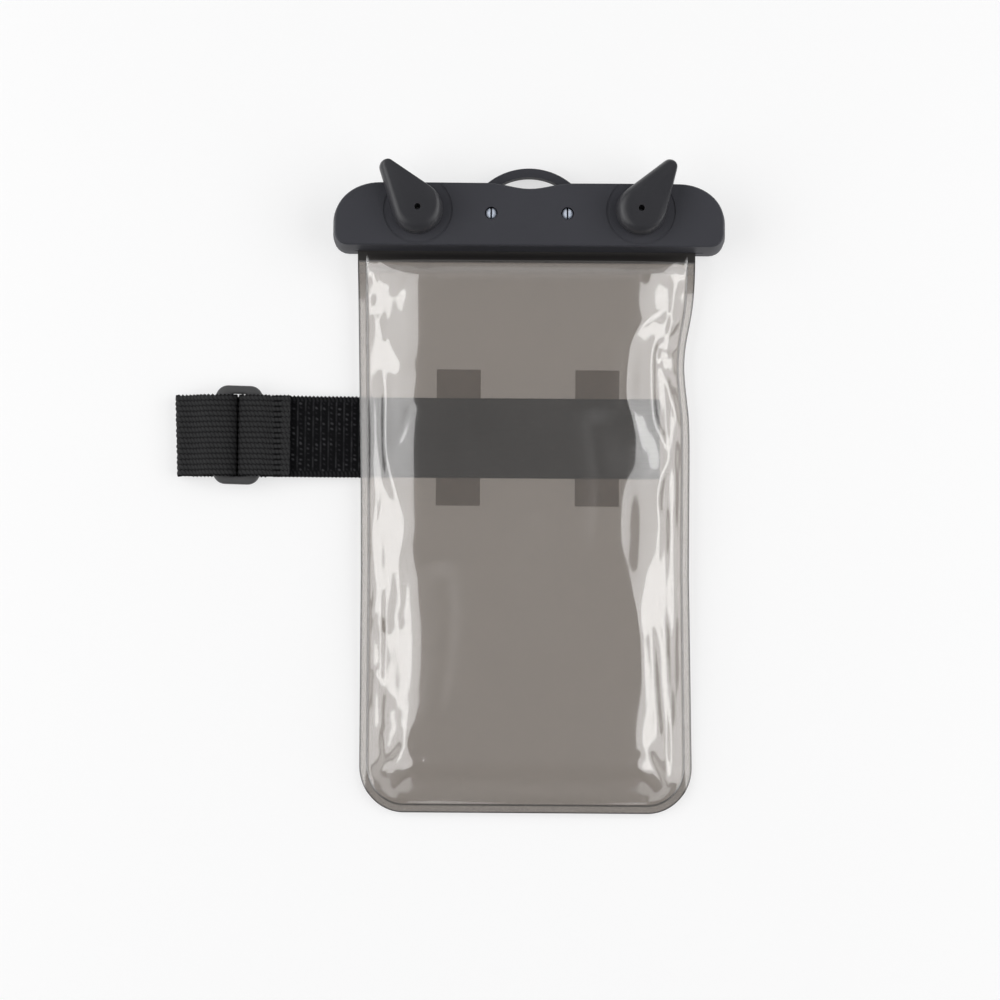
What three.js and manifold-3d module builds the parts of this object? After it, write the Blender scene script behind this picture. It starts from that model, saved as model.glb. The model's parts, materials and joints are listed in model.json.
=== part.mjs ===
// Waterproof pouch with a twist-lock clamp across its mouth and a webbing arm strap behind it.
// Millimetres, +Z up: the pouch lies on its back, clamp towards +Y, clear front film facing +Z.
// The origin is on the back face of the rear clamp bar, in the middle of its length and height.
import * as THREE from 'three';
import { mergeVertices } from 'three/addons/utils/BufferGeometryUtils.js';
import Module from 'manifold-3d';

const wasm = await Module();
wasm.setup();

// Clamp bars
const clampHalfLength = 61.4;      // half the length of the front face
const clampHalfHeight = 10;        // half the height of the front face
const clampTopCornerX = 14.2;      // the large top corners are quarter ellipses
const clampTopCornerY = 11.6;
const clampBottomCorner = 4.1;
const clampDraft = 0.8;            // both bars spread by this much towards the parting line
const clampChamfer = 0.4;
const dipHalfWidth = 13.2;         // finger dip in the middle of the top edge
const frontDipDepth = 1.8;
const rearDipDepth = 2.7;
const rearBarThickness = 6;
const frontBarThickness = 6.9;
const filmSpace = 1.1;             // room for both film lips between the bars
const endPadClearance = 0.1;       // between the bars where they meet beyond the films

// Lanyard bow on the rear bar's top edge
const bowOuterRadius = 20.9;
const bowWidth = 2.8;
const bowCentreY = -4.5;
const bowSpread = 52;              // degrees to each side of +Y, so that both ends are in the bar
const bowBottom = 0.8;
const bowThickness = 4;

// Twist locks
const lockX = 35.2;
const lockY = 1.3;
const leftLean = 37;               // degrees that each locked lever leans outwards from +Y
const rightLean = 33;
const leverReach = 16.2;           // pivot to the centre of the tip
const leverBaseRadius = 7.9;
const leverTipRadius = 2.5;
const leverHeight = 5.4;
const leverGap = 0.3;              // lever over the bar's face
const leverSkirt = 1.7;            // upright lower part of the lever's side
const leverTopBase = 5.8;          // radii of the flat top
const leverTopTip = 1.1;
const leverTopForward = 1.7;       // the flat top sits towards the tip and to one side
const leverTopAside = 1.1;
const stemRadius = 3.5;
const stemClearance = 0.3;
const webThickness = 1.3;          // front bar's web under the stem
const shaftRadius = 2.5;
const shaftClearance = 0.3;
const headLength = 11.6;           // hammer head that locks behind the rear bar
const headWidth = 5;
const headThickness = 1.8;
const headBottom = 0.6;
const recessRadius = 6.6;
const headSeatGap = 0.3;
const rampRise = 0.5;              // lead-in cut at the head's two leading edges
const screwHoleRadius = 1;
const screwRadius = 0.85;
const screwHeadRadius = 1.8;
const screwHeadHeight = 1.1;
const screwLength = 12.4;
const screwFit = 0.15;
const ringGrooveRadius = 10.65;    // fine ring groove round each lever
const ringGrooveWidth = 0.6;
const ringGrooveDepth = 0.4;

// Split pegs that carry the rear film
const pegX = 12.05;
const pegY = 0.4;
const pegRadius = 1.75;
const pegHoleRadius = 2;
const pegSlot = 0.55;
const pegSlotFloor = 0.5;          // the slot stops this far above the front bar's inner face
const pegBelowFace = 1.5;
const pegSocketDepth = 4.8;
const pegTipRound = 0.8;
const pegTipRise = 0.5;

// Seal strips
const sealLength = 107;
const sealWidth = 2.4;
const sealHeight = 1.8;
const sealY = -7.9;
const sealFit = 0.2;

// Films
const filmThickness = 0.4;
const filmGap = 0.1;
const bagHalfWidth = 52.8;
const bagBottomY = -188.2;
const bagCorner = 12.6;
const weldWidth = 2.5;
const pocketHalfWidth = 35.3;
const pocketTopY = -26.4;
const pocketBottomY = -173.4;
const pocketDepth = 8.3;
const panelHeight = 3.3;           // underside of the rear film over the strap
const bottomRimHeight = 0.9;       // the bottom weld hangs down towards the table
const rimFallStart = -105;
const rearLipTop = 8.6;
const frontLipTop = -5.6;
const clampMouthY = -12.2;         // where the films leave the bars
const leftFlare = 1.5;             // the left edge stands out this far at the clamp
const bottomTaper = 0.7;           // both edges come in this far at the bottom
const pinchDepth = 3;              // the right edge is drawn in here by the folds
const pinchY = -44;
const pinchSpread = 13;

// Folds of the front film, each along a smooth line through a few points
const foldFade = 0.27;             // share of the slope over which a fold dies out at the weld
const foldsEndY = -77;             // above this the front film has its deepest folds
const filmFolds = [
  { along: [[50, -27], [38, -30.6], [32.6, -35], [29.6, -52], [35, -74]], width: 2.4, height: 1.1 },
  { along: [[50, -27], [40.3, -40], [39, -60], [44.3, -74]], width: 2.2, height: 1 },
  { along: [[49, -43.5], [40.4, -45.1], [44, -59.4]], width: 2, height: -0.9 },
  { along: [[-50, -20], [-38.5, -25.4]], width: 2.6, height: 0.7 },
  { along: [[37, -18.8], [48.5, -22.5]], width: 2.6, height: 0.7 },
  { along: [[-45.3, -40], [-45, -72], [-40.8, -90], [-39, -104]], width: 2.2, height: 0.8 },
  { along: [[-48.8, -142.8], [-40.4, -155.3]], width: 2.4, height: 0.7 },
  { along: [[38.5, -100], [36.5, -134], [36.2, -168]], width: 2.2, height: 0.6 },
  { along: [[34.2, -173.2], [44.3, -183.3]], width: 2.2, height: 0.6 },
];

// Arm strap
const strapY = -69.8;
const strapWidth = 25.4;
const webbingThickness = 1.1;
const webbingRibs = 13;            // lengthwise ribs of the weave, on the outer face
const ribDepth = 0.25;
const plyGap = 0.15;
const floorGap = 0.1;
const foldX = -111.5;              // left fold of the strap
const foldStraight = 1.4;          // the fold turns this far inside its end
const tailEndX = -107.6;
const rightFoldX = 42;
const pileEndX = 31.6;
const pileSeam = 0.3;              // between the pile strap's end and the webbing that it is sewn to
const tabEndX = -75.4;
const hemOverlap = 5.2;            // length of the pile strap that is sewn between the tab's ends
const hemStraight = 1;             // the pile strap runs level this far past the hem
const hemRun = 12;                 // and then comes down to the loops' height over this length

// Slide buckle
const buckleX = -91.8;
const buckleY = -69.6;
const buckleLength = 15;
const buckleHeight = 31.4;
const buckleCorner = 4;
const slotLength = 26.2;
const slotWidth = 5.4;
const slotCorner = 1.2;
const buckleThickness = 2.3;
const buckleTilt = -1.5;
const buckleEdge = 0.7;
const buckleLift = 0.3;            // over the two plies that pass under it
const wrapSpacing = 0.8;           // between the two webbing folds in the slot
const webbingRun = 4;              // length over which the webbing comes level with the bar's top
const tabDropStart = 0.8;          // the tab leaves the bar this far before its right edge
const tabDropRun = 4.3;            // and comes down to the hem over this length
const tabRiseStart = 2;            // under the bar it starts to rise this far past that edge
const tabRiseEnd = 1;              // and touches the bar this far inside it

// Loops behind the pouch
const loopX = 22;
const loopLength = 14;
const loopThickness = 0.4;
const loopFoot = 6;
const loopSlope = 1.6;
const loopSideRoom = 1.4;

// Heights worked out from the stack
const clampFace = rearBarThickness + filmSpace + frontBarThickness;
const frontDeck = rearBarThickness + filmSpace;
const leverFloor = clampFace + leverGap;
const rearLipHeight = rearBarThickness + filmGap;
const webTop = frontDeck + webThickness;
const filmSlope = bagHalfWidth - weldWidth - pocketHalfWidth;
const pileStartX = tabEndX - hemOverlap;
const recessRoof = headBottom + headThickness + headSeatGap;
const webbingHeight = floorGap + webbingThickness / 2;
const loopHeight = floorGap + webbingThickness + plyGap + loopThickness / 2;
const pileHeight = loopHeight + loopThickness / 2 + plyGap + webbingThickness / 2;
const plyPitch = webbingThickness + plyGap;
const buckleBottom = floorGap + 2 * plyPitch + buckleLift;
const wrapRadius = buckleThickness / 2 + plyGap + webbingThickness / 2;
const wrapHeight = buckleBottom + buckleThickness / 2;

const plastic = (colour, roughness) =>
  new THREE.MeshStandardMaterial({ color: colour, roughness, metalness: 0 });
const film = (colour, opacity) => new THREE.MeshStandardMaterial({
  color: colour, roughness: 0.12, metalness: 0, transparent: true, opacity });

// Solids and booleans
function toSolid(geometry) {
  const bare = geometry.clone();
  bare.deleteAttribute('normal');
  bare.deleteAttribute('uv');
  const merged = mergeVertices(bare, 1e-4);
  return new wasm.Manifold(new wasm.Mesh({
    numProp: 3,
    vertProperties: new Float32Array(merged.attributes.position.array),
    triVerts: new Uint32Array(merged.index.array),
  }));
}

function toGeometry(solid) {
  const mesh = solid.getMesh();
  const geometry = new THREE.BufferGeometry();
  geometry.setAttribute('position', new THREE.BufferAttribute(new Float32Array(mesh.vertProperties), 3));
  geometry.setIndex(new THREE.BufferAttribute(new Uint32Array(mesh.triVerts), 1));
  geometry.computeVertexNormals();
  return geometry;
}

function cut(body, ...tools) {
  return toGeometry(tools.reduce((solid, tool) => solid.subtract(toSolid(tool)), toSolid(body)));
}

function join(...pieces) {
  return toGeometry(pieces.slice(1).reduce((solid, piece) => solid.add(toSolid(piece)), toSolid(pieces[0])));
}

function cylinder(x, y, radius, bottom, top, segments = 32) {
  return new THREE.CylinderGeometry(radius, radius, top - bottom, segments)
    .rotateX(Math.PI / 2).translate(x, y, (bottom + top) / 2);
}

function box(x0, x1, y0, y1, z0, z1) {
  return new THREE.BoxGeometry(x1 - x0, y1 - y0, z1 - z0)
    .translate((x0 + x1) / 2, (y0 + y1) / 2, (z0 + z1) / 2);
}

function prism(shape, bottom, top, curveSegments = 10) {
  return new THREE.ExtrudeGeometry(shape, { depth: top - bottom, bevelEnabled: false, curveSegments })
    .translate(0, 0, bottom);
}

// A closed skin through outlines that all have the same number of points, lowest first.
function loft(outlines, heights) {
  const count = outlines[0].length;
  const positions = [];
  outlines.forEach((outline, level) => outline.forEach((p) => positions.push(p.x, p.y, heights[level])));
  const index = [];
  for (let level = 0; level + 1 < outlines.length; level++) {
    for (let i = 0; i < count; i++) {
      const a = level * count + i;
      const b = level * count + (i + 1) % count;
      index.push(a, b, b + count, a, b + count, a + count);
    }
  }
  const last = (outlines.length - 1) * count;
  THREE.ShapeUtils.triangulateShape(outlines[0], []).forEach(([a, b, c]) => index.push(a, c, b));
  THREE.ShapeUtils.triangulateShape(outlines[outlines.length - 1], [])
    .forEach(([a, b, c]) => index.push(last + a, last + b, last + c));
  const geometry = new THREE.BufferGeometry();
  geometry.setAttribute('position', new THREE.Float32BufferAttribute(positions, 3));
  geometry.setIndex(index);
  geometry.computeVertexNormals();
  return geometry;
}

// Points of an elliptical arc, in degrees.
function arc(cx, cy, rx, ry, from, to, steps) {
  return Array.from({ length: steps + 1 }, (_, i) => {
    const angle = THREE.MathUtils.degToRad(from + (to - from) * i / steps);
    return new THREE.Vector2(cx + rx * Math.cos(angle), cy + ry * Math.sin(angle));
  });
}

// Outline of a clamp bar, spread outwards by grow, with the finger dip in its top edge.
function barOutline(grow, dipDepth) {
  const halfLength = clampHalfLength + grow;
  const halfHeight = clampHalfHeight + grow;
  const topX = clampTopCornerX + grow;
  const topY = clampTopCornerY + grow;
  const bottom = clampBottomCorner + grow;
  const dipSteps = 14;
  const dip = Array.from({ length: dipSteps + 1 }, (_, i) => {
    const across = 1 - 2 * i / dipSteps;
    const fall = (1 + Math.cos(Math.PI * across)) / 2;
    return new THREE.Vector2(across * dipHalfWidth, halfHeight - dipDepth * fall);
  });
  return [
    ...arc(halfLength - bottom, -halfHeight + bottom, bottom, bottom, -90, 0, 6),
    ...arc(halfLength - topX, halfHeight - topY, topX, topY, 0, 90, 14),
    ...dip,
    ...arc(-halfLength + topX, halfHeight - topY, topX, topY, 90, 180, 14),
    ...arc(-halfLength + bottom, -halfHeight + bottom, bottom, bottom, 180, 270, 6),
  ];
}

const locks = [
  { side: 'left', x: -lockX, lean: leftLean },
  { side: 'right', x: lockX, lean: -rightLean },
];
const pegs = [
  { side: 'left', x: -pegX },
  { side: 'right', x: pegX },
];

function sealGroove(bottom, top) {
  const halfLength = sealLength / 2 + sealFit;
  const halfWidth = sealWidth / 2 + sealFit;
  return box(-halfLength, halfLength, sealY - halfWidth, sealY + halfWidth, bottom, top);
}

function ringGroove(x) {
  const ring = new THREE.Shape().absarc(x, lockY, ringGrooveRadius + ringGrooveWidth / 2, 0, 2 * Math.PI);
  const inner = ringGrooveRadius - ringGrooveWidth / 2;
  ring.holes.push(new THREE.Path().absarc(x, lockY, inner, 0, 2 * Math.PI, true));
  return prism(ring, clampFace - ringGrooveDepth, clampFace + 1, 32);
}

function frontClampBar() {
  const padBottom = rearBarThickness + endPadClearance;
  const body = loft(
    [barOutline(clampDraft, frontDipDepth), barOutline(clampDraft, frontDipDepth),
      barOutline(0, frontDipDepth), barOutline(-clampChamfer, frontDipDepth)],
    [padBottom, frontDeck, clampFace - clampChamfer, clampFace]);
  const filmRoom = bagHalfWidth + leftFlare + 1;
  const reach = clampHalfHeight + clampDraft + 1;
  return cut(body,
    box(-filmRoom, filmRoom, -reach, reach, padBottom - 1, frontDeck),
    sealGroove(frontDeck - 1, frontDeck + sealHeight + sealFit),
    ...locks.flatMap(({ x }) => [
      cylinder(x, lockY, shaftRadius + shaftClearance, frontDeck - 1, clampFace + 1),
      cylinder(x, lockY, stemRadius + stemClearance, webTop, clampFace + 1),
      ringGroove(x)]),
    ...pegs.map(({ x }) => cylinder(x, pegY, pegHoleRadius, frontDeck - 1, clampFace + 1)));
}

function lanyardBow() {
  const inner = bowOuterRadius - bowWidth;
  const from = THREE.MathUtils.degToRad(90 - bowSpread);
  const to = THREE.MathUtils.degToRad(90 + bowSpread);
  const bow = new THREE.Shape();
  bow.absarc(0, bowCentreY, bowOuterRadius, from, to, false);
  bow.absarc(0, bowCentreY, inner, to, from, true);
  return prism(bow, bowBottom, bowBottom + bowThickness, 24);
}

// The hammer head passes this slot when the lever is turned a quarter turn from locked.
function keySlot(x) {
  const halfWidth = headWidth / 2 + shaftClearance;
  const halfLength = headLength / 2 + shaftClearance;
  return box(x - halfLength, x + halfLength, lockY - halfWidth, lockY + halfWidth, -1, rearBarThickness + 1);
}

function rearClampBar() {
  const body = loft(
    [barOutline(clampDraft - clampChamfer, rearDipDepth), barOutline(clampDraft, rearDipDepth),
      barOutline(clampDraft, rearDipDepth)],
    [0, clampChamfer, rearBarThickness]);
  return cut(join(body, lanyardBow()),
    sealGroove(rearBarThickness - sealHeight - sealFit, rearBarThickness + 1),
    ...locks.flatMap(({ x }) => [cylinder(x, lockY, recessRadius, -1, recessRoof, 40), keySlot(x)]),
    ...pegs.map(({ x }) => cylinder(x, pegY, pegRadius + sealFit, rearBarThickness - pegSocketDepth,
      rearBarThickness + 1)));
}

function sealStrip(bottom) {
  const halfLength = sealLength / 2;
  const halfWidth = sealWidth / 2;
  return box(-halfLength, halfLength, sealY - halfWidth, sealY + halfWidth, bottom, bottom + sealHeight);
}

// Two circles wrapped by one line, as the lever is seen from the front. The tip is towards +Y.
function teardrop(baseX, baseY, baseRadius, tipX, tipY, tipRadius) {
  const reach = Math.hypot(tipX - baseX, tipY - baseY);
  const axis = THREE.MathUtils.radToDeg(Math.atan2(tipY - baseY, tipX - baseX));
  const spread = THREE.MathUtils.radToDeg(Math.acos((baseRadius - tipRadius) / reach));
  return [
    ...arc(tipX, tipY, tipRadius, tipRadius, axis - spread, axis + spread, 8),
    ...arc(baseX, baseY, baseRadius, baseRadius, axis + spread, axis + 360 - spread, 24),
  ];
}

// The lever is lofted from an upright skirt through a rounded shoulder to a flat top that is off centre.
function leverBody() {
  const shoulderSteps = 5;
  const outlines = [];
  const heights = [];
  const level = (inward, height) => {
    const aside = leverTopAside * inward;
    const forward = leverTopForward * inward;
    outlines.push(teardrop(
      aside, forward, THREE.MathUtils.lerp(leverBaseRadius, leverTopBase, inward),
      aside, leverReach + forward * 0.2, THREE.MathUtils.lerp(leverTipRadius, leverTopTip, inward)));
    heights.push(height);
  };
  level(0.05, 0);
  level(0, clampChamfer);
  for (let i = 0; i <= shoulderSteps; i++) {
    const angle = Math.PI / 2 * i / shoulderSteps;
    level(1 - Math.cos(angle), leverSkirt + (leverHeight - leverSkirt) * Math.sin(angle));
  }
  return loft(outlines, heights);
}

function lever() {
  const stemBottom = webTop + stemClearance - leverFloor;
  return cut(join(leverBody(), cylinder(0, 0, stemRadius, stemBottom, 1)),
    cylinder(0, 0, screwHoleRadius, stemBottom - 1, leverHeight + 1, 20));
}

// The shaft, drawn with its head along Y, so that it is locked across the slot at rest.
function lockShaft() {
  const shaftTop = webTop + stemClearance - filmGap;
  const outline = new THREE.Shape();
  const halfWidth = headWidth / 2;
  const flat = Math.sqrt((headLength / 2) ** 2 - halfWidth ** 2);
  const roundEnd = Math.atan2(flat, halfWidth);
  outline.absarc(0, 0, headLength / 2, roundEnd, Math.PI - roundEnd, false);
  outline.absarc(0, 0, headLength / 2, Math.PI + roundEnd, 2 * Math.PI - roundEnd, false);
  const head = prism(outline, headBottom, headBottom + headThickness, 8);
  const rampLength = headWidth * 0.45;
  const ramp = new THREE.Shape([
    new THREE.Vector2(halfWidth - rampLength, headThickness),
    new THREE.Vector2(halfWidth + 0.1, headThickness - rampRise),
    new THREE.Vector2(halfWidth + 0.1, headThickness + 0.1),
    new THREE.Vector2(halfWidth - rampLength, headThickness + 0.1),
  ]);
  const rampCut = (turn) => prism(ramp, shaftRadius + shaftClearance, headLength / 2 + 1)
    .rotateX(Math.PI / 2).rotateZ(turn).translate(0, 0, headBottom);
  return cut(join(head, cylinder(0, 0, shaftRadius, headBottom + headThickness / 2, shaftTop)),
    rampCut(0), rampCut(Math.PI),
    cylinder(0, 0, screwHoleRadius, -1, shaftTop + 1, 20),
    cylinder(0, 0, screwHeadRadius + screwFit, -1, headBottom + screwHeadHeight + screwFit, 24));
}

function shaftScrew() {
  const driveDepth = screwHeadHeight * 0.55;
  const driveHalf = screwHeadRadius * 0.55;
  const headTop = headBottom + screwHeadHeight;
  const blade = screwRadius * 0.3;
  return cut(
    join(cylinder(0, 0, screwHeadRadius, headBottom, headTop, 24),
      cylinder(0, 0, screwRadius, headTop - 0.2, headBottom + screwLength, 16)),
    box(-driveHalf, driveHalf, -blade, blade, headBottom - 1, headBottom + driveDepth),
    box(-blade, blade, -driveHalf, driveHalf, headBottom - 1, headBottom + driveDepth));
}

// A peg split by a slot from its tip, so that its two halves spring in the hole of the front bar.
function splitPeg(x) {
  const bottom = rearBarThickness - pegSocketDepth + headSeatGap;
  const top = clampFace - pegBelowFace;
  const profile = [
    new THREE.Vector2(0, bottom), new THREE.Vector2(pegRadius, bottom),
    ...arc(pegRadius - pegTipRound, top - pegTipRise, pegTipRound, pegTipRise, 0, 90, 2),
    new THREE.Vector2(0, top),
  ];
  const peg = new THREE.LatheGeometry(profile, 28).rotateX(Math.PI / 2).translate(x, pegY, 0);
  return cut(peg, box(x - pegSlot / 2, x + pegSlot / 2, pegY - pegRadius - 1, pegY + pegRadius + 1,
    frontDeck + pegSlotFloor, top + 1));
}

// Half-width of the films at a height along the pouch, with the round bottom corners.
function filmHalfWidth(y) {
  const into = Math.max(0, bagBottomY + bagCorner - y);
  const rise = Math.sqrt(Math.max(0, bagCorner ** 2 - into ** 2));
  return bagHalfWidth - bagCorner + rise;
}

const smooth = (value) => THREE.MathUtils.smoothstep(value, 0, 1);

// Evenly spaced values from one to the other, both included.
const spread = (from, to, steps) =>
  Array.from({ length: steps + 1 }, (_, i) => from + (to - from) * i / steps);

// How far a point is from the flat pocket towards the weld: 0 over the pocket, 1 at the weld.
function slopeShare(x, y) {
  const bottomRun = pocketBottomY - bagBottomY - weldWidth;
  const topRun = clampMouthY - pocketTopY;
  const aside = Math.max(0, Math.abs(x) - pocketHalfWidth) / filmSlope;
  const below = Math.max(0, pocketBottomY - y) / bottomRun;
  const above = Math.max(0, y - pocketTopY) / topRun;
  return Math.min(1, Math.hypot(aside, Math.max(below, above)));
}

// Underside of the rear film, and of the front film over it.
function rearFilmHeight(x, y) {
  const toClamp = smooth((y - pocketTopY) / (clampMouthY - pocketTopY));
  const toBottom = smooth((rimFallStart - y) / (rimFallStart - bagBottomY));
  const rim = panelHeight - (panelHeight - bottomRimHeight) * toBottom;
  const panel = THREE.MathUtils.lerp(panelHeight, rim, smooth(slopeShare(x, y)));
  return THREE.MathUtils.lerp(panel, rearLipHeight, toClamp);
}

// Lines down the middle of the folds, as short straight runs.
const foldLines = filmFolds.map(({ along }) =>
  new THREE.SplineCurve(along.map(([x, y]) => new THREE.Vector2(x, y))).getPoints(4 * along.length));

// Height that the folds add: round across, and fading towards both ends of each fold.
function foldHeight(x, y) {
  const point = new THREE.Vector2(x, y);
  return filmFolds.reduce((sum, { width, height }, fold) => {
    const line = foldLines[fold];
    let nearest = { gap: Infinity, share: 0 };
    for (let i = 0; i + 1 < line.length; i++) {
      const run = line[i + 1].clone().sub(line[i]);
      const part = THREE.MathUtils.clamp(point.clone().sub(line[i]).dot(run) / run.lengthSq(), 0, 1);
      const gap = point.distanceTo(line[i].clone().addScaledVector(run, part));
      if (gap < nearest.gap) nearest = { gap, share: (i + part) / (line.length - 1) };
    }
    const fade = Math.sqrt(Math.sin(Math.PI * THREE.MathUtils.clamp(nearest.share, 0.02, 0.98)));
    return sum + height * fade * Math.exp(-((nearest.gap / width) ** 2));
  }, 0);
}

function frontFilmHeight(x, y) {
  const share = slopeShare(x, y);
  const bulge = (1 - share) * (1 + 0.35 * share);
  const folds = foldHeight(x, y) * smooth((1 - share) / foldFade);
  return rearFilmHeight(x, y) + filmThickness + filmGap + Math.max(0, pocketDepth * bulge + folds);
}

// The edges aren't quite parallel, and the right one is drawn in where the folds pinch it.
function edgedX(x, y) {
  const aside = Math.max(0, (Math.abs(x) - pocketHalfWidth) / (bagHalfWidth - pocketHalfWidth));
  const up = (y - bagBottomY) / (clampMouthY - bagBottomY);
  const near = Math.exp(-(((y - pinchY) / pinchSpread) ** 2));
  const leftDrift = THREE.MathUtils.lerp(bottomTaper, -leftFlare, up);
  const rightDrift = -bottomTaper * (1 - up) - pinchDepth * near;
  return x + aside * (x < 0 ? leftDrift : rightDrift);
}

// A film is a sheet on a grid of stations across and along the pouch, closer together where it has folds.
function filmSheet(lipTop, heightAt, { flatX, slopeSteps, foldSteps, plainSteps }) {
  const half = [0, flatX / 2, ...spread(flatX, pocketHalfWidth + filmSlope, slopeSteps), bagHalfWidth];
  const across = [...half.slice(1).reverse().map((x) => -x), ...half].map((x) => x / bagHalfWidth);
  const along = [lipTop, clampMouthY + 1, ...spread(clampMouthY, foldsEndY, foldSteps),
    ...spread(foldsEndY, pocketBottomY, plainSteps).slice(1),
    ...spread(0, 90, 6).map((angle) =>
      bagBottomY + bagCorner * (1 - Math.sin(THREE.MathUtils.degToRad(angle))))];
  const rows = along.length;
  const columns = across.length;
  const positions = [];
  for (const lift of [0, filmThickness]) {
    for (const y of along) {
      for (const share of across) {
        const x = share * filmHalfWidth(y);
        positions.push(edgedX(x, y), y, heightAt(x, y) + lift);
      }
    }
  }
  const index = [];
  const layer = rows * columns;
  const quad = (a, b, c, d) => index.push(a, b, c, a, c, d);
  for (let row = 0; row + 1 < rows; row++) {
    for (let column = 0; column + 1 < columns; column++) {
      const a = row * columns + column;
      quad(a, a + 1, a + 1 + columns, a + columns);
      quad(layer + a, layer + a + columns, layer + a + 1 + columns, layer + a + 1);
    }
    const left = row * columns;
    const right = left + columns - 1;
    quad(left, left + columns, layer + left + columns, layer + left);
    quad(right + columns, right, layer + right, layer + right + columns);
  }
  for (let column = 0; column + 1 < columns; column++) {
    const bottom = (rows - 1) * columns + column;
    quad(column + 1, column, layer + column, layer + column + 1);
    quad(bottom, bottom + 1, layer + bottom + 1, layer + bottom);
  }
  const geometry = new THREE.BufferGeometry();
  geometry.setAttribute('position', new THREE.Float32BufferAttribute(positions, 3));
  geometry.setIndex(index);
  geometry.computeVertexNormals();
  return geometry;
}

const frontFilm = () =>
  filmSheet(frontLipTop, frontFilmHeight, { flatX: 28, slopeSteps: 7, foldSteps: 15, plainSteps: 7 });

// The rear film's lip has holes for the pegs and for the hammer heads to pass.
function rearFilm() {
  const grid = { flatX: 30, slopeSteps: 3, foldSteps: 5, plainSteps: 4 };
  return cut(filmSheet(rearLipTop, rearFilmHeight, grid),
    ...locks.map(({ x }) => cylinder(x, lockY, recessRadius, rearBarThickness - 1, frontDeck, 24)),
    ...pegs.map(({ x }) => cylinder(x, pegY, pegRadius + sealFit, rearBarThickness - 1, frontDeck, 20)));
}

const flatSection = (width, thickness) => [[-1, -1], [1, -1], [1, 1], [-1, 1]]
  .map(([across, out]) => new THREE.Vector2(across * width / 2, out * thickness / 2));

// Section of ribbed webbing, with its ribs on the outer face.
function ribbedSection() {
  const half = strapWidth / 2;
  const face = webbingThickness / 2;
  const ribs = spread(half, -half, 2 * webbingRibs)
    .map((across, i) => new THREE.Vector2(across, face - (i % 2 ? 0 : ribDepth)));
  return [new THREE.Vector2(-half, -face), new THREE.Vector2(half, -face), ...ribs];
}

// A strip: its section, drawn across and outwards, is carried along a centre line in X and Z.
function strip(line, section) {
  const points = line.getPoints(4).filter((p, i, all) => i === 0 || p.distanceTo(all[i - 1]) > 1e-3);
  const count = section.length;
  const positions = [];
  points.forEach((p, i) => {
    const before = points[Math.max(0, i - 1)];
    const after = points[Math.min(points.length - 1, i + 1)];
    const into = (i === 0 ? after.clone().sub(p) : p.clone().sub(before)).normalize();
    const onward = (i === points.length - 1 ? into.clone() : after.clone().sub(p)).normalize();
    const along = into.clone().add(onward).normalize();
    const mitre = 1 / Math.max(0.5, along.dot(into));
    section.forEach(({ x: across, y: out }) => {
      positions.push(p.x - along.y * out * mitre, across, p.y + along.x * out * mitre);
    });
  });
  const index = [];
  for (let station = 0; station + 1 < points.length; station++) {
    for (let i = 0; i < count; i++) {
      const a = station * count + i;
      const b = station * count + (i + 1) % count;
      index.push(a, b, b + count, a, b + count, a + count);
    }
  }
  const last = (points.length - 1) * count;
  THREE.ShapeUtils.triangulateShape(section, []).forEach(([a, b, c]) =>
    index.push(a, c, b, last + a, last + b, last + c));
  const geometry = new THREE.BufferGeometry();
  geometry.setAttribute('position', new THREE.Float32BufferAttribute(positions, 3));
  geometry.setIndex(index);
  geometry.computeVertexNormals();
  return geometry;
}

const halfSlotLeft = buckleX - wrapSpacing / 2 - webbingThickness / 2;
const halfSlotRight = buckleX + wrapSpacing / 2 + webbingThickness / 2;
const underBar = wrapHeight - wrapRadius;
const overBar = wrapHeight + wrapRadius;

// Plain webbing: along the table, round the left fold, over the buckle's left bar, down through the
// slot and back under the bar. Its right end turns up and meets the pile strap.
function webbing() {
  const foldTop = webbingHeight + 2 * plyPitch;
  const foldRadius = (foldTop - webbingHeight) / 2;
  const foldCentre = foldX + webbingThickness / 2 + foldRadius;
  const turnRadius = (pileHeight - webbingHeight) / 2;
  const turnCentre = rightFoldX - webbingThickness / 2 - turnRadius;
  const barLeft = buckleX - buckleLength / 2;
  const line = new THREE.Path();
  line.moveTo(pileEndX + pileSeam, pileHeight);
  line.lineTo(turnCentre, pileHeight);
  line.absarc(turnCentre, webbingHeight + turnRadius, turnRadius, Math.PI / 2, -Math.PI / 2, true);
  line.lineTo(foldCentre, webbingHeight);
  line.absarc(foldCentre, webbingHeight + foldRadius, foldRadius, -Math.PI / 2, -3 * Math.PI / 2, true);
  const bendStart = foldCentre + foldStraight;
  line.lineTo(bendStart, foldTop);
  line.bezierCurveTo(bendStart + webbingRun, foldTop, barLeft - webbingRun, overBar, barLeft, overBar);
  line.lineTo(halfSlotLeft - wrapRadius, overBar);
  line.absarc(halfSlotLeft - wrapRadius, wrapHeight, wrapRadius, Math.PI / 2, -Math.PI / 2, true);
  line.lineTo(barLeft, underBar);
  line.lineTo(tailEndX, webbingHeight + plyPitch);
  return strip(line, ribbedSection());
}

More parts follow.
